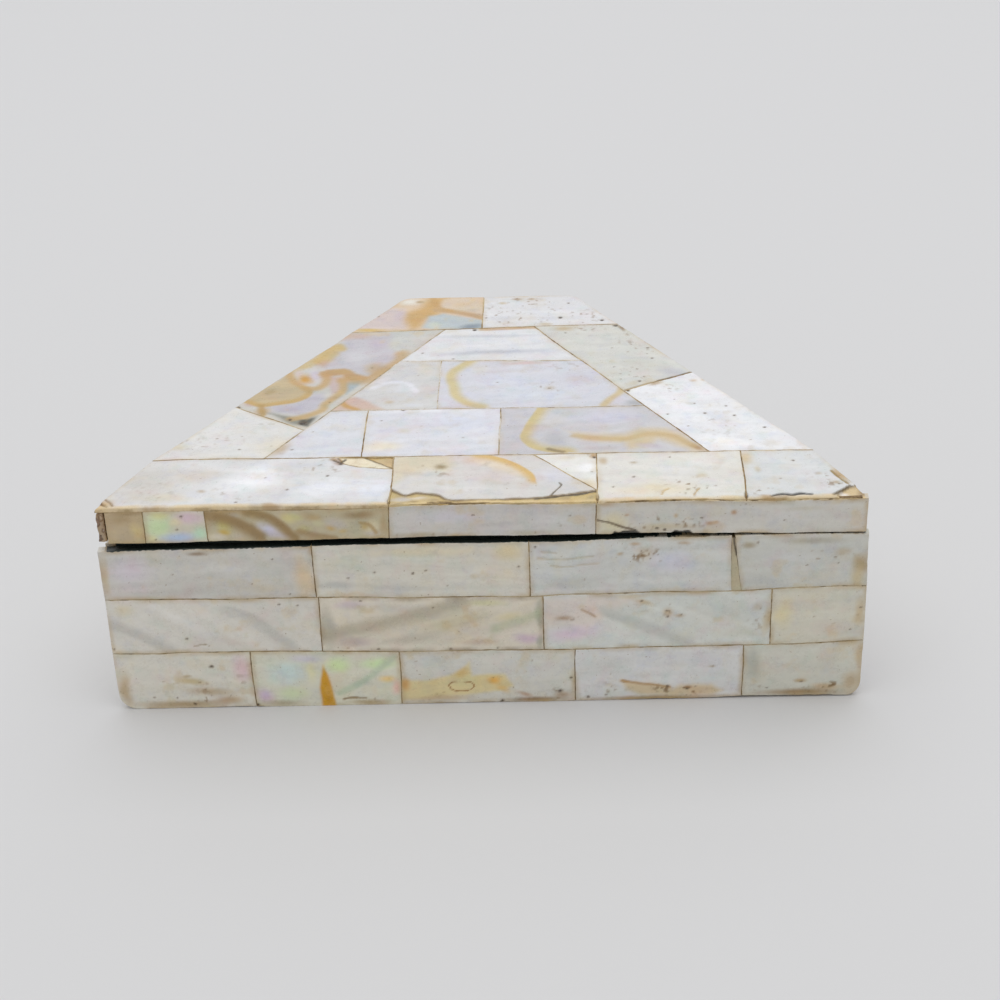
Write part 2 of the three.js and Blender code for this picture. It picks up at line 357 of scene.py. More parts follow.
def closedShell(top, foot):
    # a grid of outer points closed by walls down to the foot ring and by strips across underneath
    rows, columns = top.shape[:2]
    index = np.arange(rows * columns).reshape(rows, columns)
    quads = np.stack([index[:-1, :-1], index[:-1, 1:], index[1:, 1:], index[1:, :-1]], axis=-1)
    ring = ringOf(rows, columns)
    base = rows * columns
    lower = base + np.arange(len(ring))
    walls = np.stack([ring, lower, np.roll(lower, -1), np.roll(ring, -1)], axis=-1)
    far = base + (columns - 1) + (rows - 1) + (columns - 1)
    i = np.arange(1, columns - 2)
    strips = np.stack([base + i, far - i, far - i - 1, base + i + 1], axis=-1)
    leftColumn = lower[far - base + 1:][::-1]
    rightColumn = lower[columns:columns + rows - 2][::-1]
    firstEnd = np.concatenate([[base], leftColumn, [far, far - 1, base + 1]])
    lastEnd = np.concatenate([[base + columns - 2, far - columns + 2, far - columns + 1], rightColumn,
                              [base + columns - 1]])
    return {"points": np.vstack([top.reshape(-1, 3), foot]), "smooth": quads.reshape(-1, 4),
            "flat": np.vstack([walls, strips]), "ends": [firstEnd, lastEnd]}


def pieceFrom(name, shells, fields, material):
    # one object from closed shells, smooth on their outer faces; fields hold a value for every point
    offsets = np.cumsum([0] + [len(shell["points"]) for shell in shells])
    points = np.vstack([shell["points"] for shell in shells])
    quads = np.vstack([shell["smooth"] + k for shell, k in zip(shells, offsets)]
                      + [shell["flat"] + k for shell, k in zip(shells, offsets)])
    smoothCount = sum(len(shell["smooth"]) for shell in shells)
    ends = [end + k for shell, k in zip(shells, offsets) for end in shell["ends"]]
    corners = np.concatenate([quads.ravel(), *ends]).astype(np.int32)
    endStarts = 4 * len(quads) + np.cumsum([0] + [len(end) for end in ends[:-1]])
    starts = np.concatenate([np.arange(len(quads)) * 4, endStarts]).astype(np.int32)
    mesh = bpy.data.meshes.new(name)
    mesh.vertices.add(len(points))
    mesh.vertices.foreach_set("co", points.astype(np.float32).ravel())
    mesh.loops.add(len(corners))
    mesh.loops.foreach_set("vertex_index", corners)
    mesh.polygons.add(len(starts))
    mesh.polygons.foreach_set("loop_start", starts)
    mesh.polygons.foreach_set("use_smooth", np.arange(len(starts)) < smoothCount)
    mesh.update(calc_edges=True)
    for field, values in fields.items():
        if values.ndim == 2:
            layer = mesh.attributes.new(field, "FLOAT_COLOR", "POINT")
            filled = np.concatenate([values, np.ones((len(values), 1))], axis=1)
            layer.data.foreach_set("color", filled.astype(np.float32).ravel())
        else:
            layer = mesh.attributes.new(field, "FLOAT", "POINT")
            layer.data.foreach_set("value", values.astype(np.float32))
    mesh.materials.append(material)
    piece = bpy.data.objects.new(name, mesh)
    bpy.context.collection.objects.link(piece)
    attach(piece, "root")
    return piece


# What the look of a plaque may hold, and what it has where it says nothing. Places and sizes are the
# face's own millimetres, turns are degrees, and a tone with a share of 1 hides what lies beneath it.
plainShell = {
    "areas": (),  # outline, soft edge, tone, share
    "clouds": (), "late": (), "under": (),  # a, b, reach along, reach across, turn, tone, share
    "bands": (),  # line, reach to its left, reach to its right, tone, share
    "streaks": None,  # turn, length, width, share
    "speckled": (),  # a, b, reach along a, reach along b, share
    "pits": (),  # a, b, radius
    "cracks": (), "edges": (),  # line, width, tone, share
    "chips": (),  # outline, depth, tone of the broken face, tone of its rim
    "waves": None,  # turn, distance from crest to crest, height
    "foxed": 0.35, "foxTone": "cdb88e",  # brown blotches
    "soil": 0.4, "soilTone": "d2b98a", "soiled": 0.5,  # dirt along the edges, and how far the grime reaches
    "deepen": 1.02,  # power on the whole colour, above 1 for richer tones
    "round": 0.2, "ragged": 0.05, "worn": None,  # radius and unevenness of the edges
    "paint": None,  # height of the paint's edge, its unevenness, and whether the paint lies above it
    "step": 0.3,  # spacing of the points
}


def painted(a, b, edge, spec, seed):
    # the colour of the shell and how far its face drops. Tones are laid over each other from the base up,
    # each time old (1 - share) + tone share: areas, clouds, bands, streaks, blotches, dirt, specks, pits,
    # cracks, chips, and clouds and cracks over these. Of two drops the deeper one counts
    bentA = a + 0.7 * layeredNoise(a, b, 4, seed + 1)
    bentB = b + 0.7 * layeredNoise(a, b, 4, seed + 2)
    colour = np.zeros(a.shape + (3,)) + hexColour(spec["base"])
    drop = np.zeros(a.shape)

    def bent(share):
        # the places, moved by a share of the slow noise, so that drawn shapes turn out uneven
        return a + share * (bentA - a), b + share * (bentB - b)

    def lay(tone, share):
        # a tone over the colour so far
        nonlocal colour
        share = np.clip(share, 0, 1)[..., None]
        colour = colour * (1 - share) + hexColour(tone) * share

    def layClouds(key):
        # soft ovals, full near their middle and gone at 1.3 of their reach
        for a0, b0, reachA, reachB, turn, tone, share in spec[key]:
            overA, overB = bent(min(1, reachB / 2))
            along, across = turned(overA - a0, overB - b0, turn)
            lay(tone, share * (1 - smoothStep(0.1, 1.3, np.hypot(along / reachA, across / reachB))))

    def layCracks(key):
        # lines of uneven width, half as deep as they are wide
        nonlocal drop
        for points, width, tone, share in spec[key]:
            away, _ = nearestOn(*bent(0.3), rounded(points, 3))
            away = away / (width * (0.8 + 0.5 * layeredNoise(a, b, 1.5, seed + 4, 2)).clip(0.4))
            lay(tone, share * (1 - smoothStep(0.3, 1.1, away)))
            drop = np.maximum(drop, 0.5 * width * (1 - smoothStep(0, 0.9, away)))

    for points, soft, tone, share in spec["areas"]:
        lay(tone, share * smoothStep(-soft, soft, depthInside(*bent(0.25), points)))
    layClouds("clouds")
    for points, leftSoft, rightSoft, tone, share in spec["bands"]:
        away, side = nearestOn(*bent(0.25), rounded(points))
        lay(tone, share * (1 - smoothStep(0.15, 1.2, away / np.where(side > 0, leftSoft, rightSoft))))
    layClouds("late")
    turn, length, width, share = spec["streaks"] or (8 * math.sin(seed), 12, 1.3, 0.05)
    along, across = turned(bentA, bentB, turn)
    streaks = layeredNoise(along / length, across / width, 1, seed + 13, 4)
    colour = colour * (1 + share * 1.6 * streaks[..., None])
    lay(spec["foxTone"], spec["foxed"] * smoothStep(0.3, 0.62, layeredNoise(a, b, 3.2, seed + 14, 5)))
    soil = (1 - smoothStep(0, 1.1, edge)) * (0.45 + 0.9 * layeredNoise(a, b, 4, seed + 15, 3))
    lay(spec["soilTone"], spec["soil"] * soil)
    for a0, b0, reachA, reachB, share in spec["speckled"]:
        near = 1 - smoothStep(0.3, 1.2, np.hypot((bentA - a0) / reachA, (bentB - b0) / reachB))
        dots = smoothStep(0.3, 0.55, layeredNoise(a, b, 0.75, seed + 18, 2))
        lay("8c6c40", share * near * dots * smoothStep(-0.3, 0.3, layeredNoise(a, b, 2.6, seed + 19, 2)))
    for a0, b0, radius in spec["pits"]:
        away = np.hypot(a - a0, (b - b0) * 1.2) / radius + 0.35 * layeredNoise(a, b, radius, seed + 3, 2)
        lay("9a7a4e", 0.45 * (1 - smoothStep(0.6, 1.7, away)))
        lay("3a2a1b", min(0.95, 3 * radius) * (1 - smoothStep(0.35, 1.1, away)))
        drop = np.maximum(drop, 0.3 * radius * (1 - smoothStep(0.3, 1.1, away)))
    layCracks("cracks")
    for points, depth, tone, rimTone in spec["chips"]:
        within = depthInside(a, b, points) + 0.12 * layeredNoise(a, b, 0.8, seed + 5, 3)
        rough = layeredNoise(a, b, 1.3, seed + 6, 4)
        lay(rimTone, 0.8 * smoothStep(-0.12, 0.02, within))
        lay(tone, (0.9 + 0.5 * rough) * smoothStep(0.05, 0.3, within))
        drop = np.maximum(drop, depth * smoothStep(-0.1, 0.35, within) * (0.8 + 0.35 * rough))
    layClouds("under")
    layCracks("edges")
    if spec["waves"]:
        turn, span, height = spec["waves"]
        along, _ = turned(bentA, bentB, turn)
        drop = drop + height * (1 + np.sin(along * 2 * math.pi / span)) / 2
    return np.clip(colour, 0, 1) ** spec["deepen"], drop


def wander(a, b):
    # the same slow drift of places for plaques and filler, so that no seam runs dead straight
    return a + 0.14 * softNoise(a, b, 7, 901), b + 0.14 * softNoise(a, b, 7, 902)


def plaqueShell(face, outline, thick, spec, seed):
    # one closed plaque: a grid over its outline, at its thickness less the drop of its face, rubbed round
    # along the edges like a quarter circle, and every place moved a little by noise
    spec = {**plainShell, **spec}
    grid = patchGrid(outline, spec["step"], (0, 0.05, 0.12, 0.2, 0.32, 0.48))
    a, b = grid[..., 0], grid[..., 1]
    edge, _ = nearestOn(a, b, outline, closed=True)
    colour, drop = painted(a, b, edge, spec, seed)
    radius = spec["round"] * (1 + 0.5 * layeredNoise(a, b, 2.2, seed + 7, 3))
    if spec["worn"]:
        worn = spec["worn"]
        radius = radius + (worn["radius"] - radius) * (1 - smoothStep(worn["near"], worn["far"], b))
        stained = 1 - smoothStep(0.1, worn["stain"], b + 0.5 * layeredNoise(a, b, 2, seed + 16, 3))
        stained = worn["share"] * stained[..., None]
        patch = smoothStep(0.25, 0.6, layeredNoise(a, b, 6, seed + 17, 4))[..., None]
        edgeTone = hexColour(worn["tone"]) * (1 - patch) + hexColour(worn["patches"]) * patch
        colour = colour * (1 - stained) + edgeTone * stained
    inward = np.clip(radius - edge, 0, None)
    drop = np.maximum(drop, radius - np.sqrt(np.clip(radius ** 2 - inward ** 2, 0, None)))
    drop = drop + 0.025 * (1 + layeredNoise(a, b, 5, seed + 8, 3))
    grime = (1 - smoothStep(0, spec["soiled"], edge)) * (0.4 + 0.6 * layeredNoise(a, b, 3, seed + 9, 3))
    movedA, movedB = wander(a, b)
    movedA = movedA + spec["ragged"] * layeredNoise(a, b, 0.9, seed + 10, 2)
    movedB = movedB + spec["ragged"] * layeredNoise(a, b, 0.9, seed + 11, 2)
    (lowA, highA), (lowB, highB) = spec["limits"]
    movedA, movedB = np.clip(movedA, lowA, highA), np.clip(movedB, lowB, highB)
    top = face(movedA, movedB, np.clip(thick - drop, 0.05, thick))
    ring = ringOf(*a.shape)
    foot = face(movedA.ravel()[ring], movedB.ravel()[ring], np.zeros(len(ring)))
    everywhere = np.concatenate([np.arange(a.size), ring])
    fields = {
        "shellColour": colour.reshape(-1, 3)[everywhere],
        "grime": np.clip(grime, 0, 1).ravel()[everywhere],
        "paint": np.zeros(len(everywhere)),
    }
    fields["grime"][a.size:] = 1
    if spec["paint"]:
        height, uneven, upwards = spec["paint"]
        level = (b - height(a)) * (1 if upwards else -1) + uneven * layeredNoise(a, b, 0.9, seed + 12, 4)
        fields["paint"] = smoothStep(-0.06, 0.06, level).ravel()[everywhere]
        fields["paint"][a.size:] = np.where(fields["paint"][a.size:] > 0.1, 1, 0)
    return closedShell(top, foot), fields


def addPlaques(name, parts, node):
    # joins closed plaques into one object that stands for a node of the frame
    fields = {key: np.concatenate([part[key] for _, part in parts]) for key in parts[0][1]}
    piece = pieceFrom(name, [shell for shell, _ in parts], fields, nacre)
    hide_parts(node)


fillerLook = {
    "depth": 0.6, "hollow": 0.04, "dots": "4a3616", "dotted": 0.75,
    # each kind of seam: half its width, how far it lies below the shell's face, its unevenness
    "top": (0.13, 0.02, 0.06), "joint": (0.16, 0.06, 0.12), "row": (0.12, 0.04, 0.06),
    "glue": (0.13, 0.06, 0.12), "wallJoint": (0.22, 0.12, 0.12), "wallRow": (0.25, 0.12, 0.12),
}


def seamRib(face, line, kind, seed):
    # filler pressed into a seam: a strip along its line, five points across, hollowed, and uneven
    # in its width and its height
    halfWidth, below, wavy = fillerLook[kind]
    level = boxSize["topShell" if kind == "top" else "sideShell"] - below
    line = np.asarray(line, float)
    reach = np.hypot(*np.diff(line, axis=0).T).sum()
    middle = atShare(line, np.linspace(0, 1, max(3, int(reach / 0.3))))
    along = np.gradient(middle, axis=0)
    along /= np.hypot(*along.T)[:, None]
    uneven = 1 + 0.5 * layeredNoise(middle[:, 0], middle[:, 1], 2.4, seed + 5, 4)
    across = np.array([1, 0.5, 0, -0.5, -1])[:, None] * halfWidth * uneven
    a = middle[:, 0] - across * along[:, 1]
    b = middle[:, 1] + across * along[:, 0]
    out = level - wavy * (0.5 + 0.5 * layeredNoise(a, b, 1.1, seed, 3))
    out = out - fillerLook["hollow"] * (across == 0)
    a, b = wander(a, b)
    a, b, out = a[::-1], b[::-1], out[::-1]
    ring = ringOf(*a.shape)
    foot = face(a.ravel()[ring], b.ravel()[ring], out.ravel()[ring] - fillerLook["depth"])
    return closedShell(face(a, b, out), foot)


def addNode(tree, kind, inputs, output=0, **settings):
    # adds one shader node and gives back one of its outputs; an input is a value or another node's output
    made = tree.nodes.new("ShaderNode" + kind)
    for key, value in settings.items():
        setattr(made, key, value)
    for key, value in inputs.items():
        if isinstance(value, bpy.types.NodeSocket):
            tree.links.new(value, made.inputs[key])
        else:
            made.inputs[key].default_value = value
    return made.outputs[output] if len(made.outputs) else None


def newMaterial(name):
    # an empty shader tree, and the place of each point on its own object
    material = bpy.data.materials.new(name)
    material.use_nodes = True
    tree = material.node_tree
    tree.nodes.clear()
    return material, tree, addNode(tree, "TexCoord", {}, "Object")


def rgba(text):
    # a hex colour for a socket
    return (*hexColour(text), 1)


def nacreMaterial():
    # Mother of pearl, ground smooth and worn: a milky body with a soft lustre, not a mirror;
    # its thin layers send back a faint pink or green that drifts over some millimetres
    look = {
        "lustre": (0.23, 0.35), "coat": 0.12, "mottle": 0.11, "rainbow": 0.26,
        "tints": {"pink": "ffdde6", "green": "daf4ee", "yellow": "fff0cc", "blue": "dde3ff"},
        # each noise: size of its cells in millimetres, layers, strength of the finer ones
        "noises": {"pink": (4.2, 3, 0.55), "green": (3.1, 3, 0.55), "yellow": (3.7, 3, 0.55),
                   "blue": (2.6, 3, 0.55), "cloudy": (1.6, 6, 0.68), "specks": (0.5, 2, 0.5),
                   "broken": (0.7, 4, 0.6), "swell": (2.2, 2, 0.55), "grain": (0.3, 4, 0.7)},
        # what covers the shell in places: where it begins, where it is full, how thick it lies, its tone
        "covers": {"specks": (0.72, 0.77, 0.6, "8a7350"), "grime": (0.8, 1.3, 0.75, "a48a5c"),
                   "paint": (0.95, 1.1, 1, "232c27")},
        "grimeRough": 0.4,
    }
    material, tree, place = newMaterial("nacre")
    noises = {name: addNode(tree, "TexNoise", {"Vector": place, "Scale": 1 / (size * mm), "Detail": layers,
                                               "Roughness": finer})
              for name, (size, layers, finer) in look["noises"].items()}
    colour = addNode(tree, "Attribute", {}, "Color", attribute_name="shellColour")
    for name, tone in look["tints"].items():
        drift = addNode(tree, "MapRange", {"Value": noises[name], "From Min": 0.52, "From Max": 0.72,
                                           "To Max": look["rainbow"]})
        colour = addNode(tree, "Mix", {0: drift, 6: colour, 7: rgba(tone)}, 2, data_type="RGBA",
                         blend_type="MULTIPLY")
    cloudy = addNode(tree, "MapRange", {"Value": noises["cloudy"], "From Min": 0.3, "From Max": 0.7})
    shade = addNode(tree, "Mix", {0: cloudy, 6: rgba("8d867c"), 7: rgba("ffffff")}, 2, data_type="RGBA")
    colour = addNode(tree, "Mix", {0: look["mottle"], 6: colour, 7: shade}, 2, data_type="RGBA",
                     blend_type="MULTIPLY")
    lowest, highest = look["lustre"]
    rough = addNode(tree, "MapRange", {"Value": cloudy, "To Min": lowest, "To Max": highest})
    for name, (begins, full, thick, tone) in look["covers"].items():
        cover = noises.get(name)
        if name != "specks":
            # the piece's own field of grime or paint, broken up by noise
            field = addNode(tree, "Attribute", {}, "Fac", attribute_name=name)
            cover = addNode(tree, "Math", {0: field, 1: noises["broken"]}, operation="ADD")
        cover = addNode(tree, "MapRange", {"Value": cover, "From Min": begins, "From Max": full,
                                           "To Max": thick})
        colour = addNode(tree, "Mix", {0: cover, 6: colour, 7: rgba(tone)}, 2, data_type="RGBA")
        if name == "grime":
            rough = addNode(tree, "Math", {0: cover, 1: look["grimeRough"], 2: rough},
                            operation="MULTIPLY_ADD")
    swell = addNode(tree, "Bump", {"Height": noises["swell"], "Distance": 0.05 * mm, "Strength": 1})
    grain = addNode(tree, "Bump", {"Height": noises["grain"], "Distance": 0.006 * mm, "Strength": 1,
                                   "Normal": swell})
    surface = addNode(tree, "BsdfPrincipled", {
        "Base Color": colour, "Roughness": rough, "IOR": 1.6, "Coat Weight": look["coat"],
        "Coat Roughness": 0.15, "Normal": grain})
    addNode(tree, "OutputMaterial", {"Surface": surface})
    return material


def woodMaterial():
    # Old dark board, dry and dull, with black-green paint along the edge where box and lid meet.
    # Its grain is as wide as given in millimetres, and drawn out along x
    look = {"dark": "2e2116", "light": "5a4330", "grain": 0.6, "along": 0.08, "paint": "1c2520",
            "paintLow": 29, "paintHigh": 30}
    material, tree, place = newMaterial("painted wood")
    drawnOut = addNode(tree, "Mapping", {"Vector": place, "Scale": (look["along"], 1, 1)})
    grain = addNode(tree, "TexNoise", {"Vector": drawnOut, "Scale": 1 / (look["grain"] * mm), "Detail": 5})
    colour = addNode(tree, "Mix", {0: grain, 6: rgba(look["dark"]), 7: rgba(look["light"])}, 2,
                     data_type="RGBA")
    high = addNode(tree, "SeparateXYZ", {"Vector": place}, "Z")
    paint = addNode(tree, "MapRange", {"Value": high, "From Min": look["paintLow"] * mm,
                                       "From Max": look["paintHigh"] * mm})
    colour = addNode(tree, "Mix", {0: paint, 6: colour, 7: rgba(look["paint"])}, 2, data_type="RGBA")
    surface = addNode(tree, "BsdfPrincipled", {"Base Color": colour, "Roughness": 0.8})
    addNode(tree, "OutputMaterial", {"Surface": surface})
    return material


def fillerMaterial():
    # Brown resin and dust packed into the seams, dull and crumbly, with crumbs half a millimetre wide
    look = {"crumbs": 0.5, "dust": "b49a72", "dusty": 0.55}
    material, tree, place = newMaterial("seam filler")
    own = addNode(tree, "Attribute", {}, "Color", attribute_name="shellColour")
    crumbs = addNode(tree, "TexNoise", {"Vector": place, "Scale": 1 / (look["crumbs"] * mm), "Detail": 5,
                                        "Roughness": 0.7})
    dust = addNode(tree, "MapRange", {"Value": crumbs, "From Min": 0.35, "From Max": 0.65,
                                      "To Max": look["dusty"]})
    colour = addNode(tree, "Mix", {0: dust, 6: own, 7: rgba(look["dust"])}, 2, data_type="RGBA")
    bump = addNode(tree, "Bump", {"Height": crumbs, "Distance": 0.1 * mm, "Strength": 1})
    surface = addNode(tree, "BsdfPrincipled", {"Base Color": colour, "Roughness": 0.75, "Normal": bump})
    addNode(tree, "OutputMaterial", {"Surface": surface})
    return material


nacre, wood, filler = nacreMaterial(), woodMaterial(), fillerMaterial()
print("materials made")


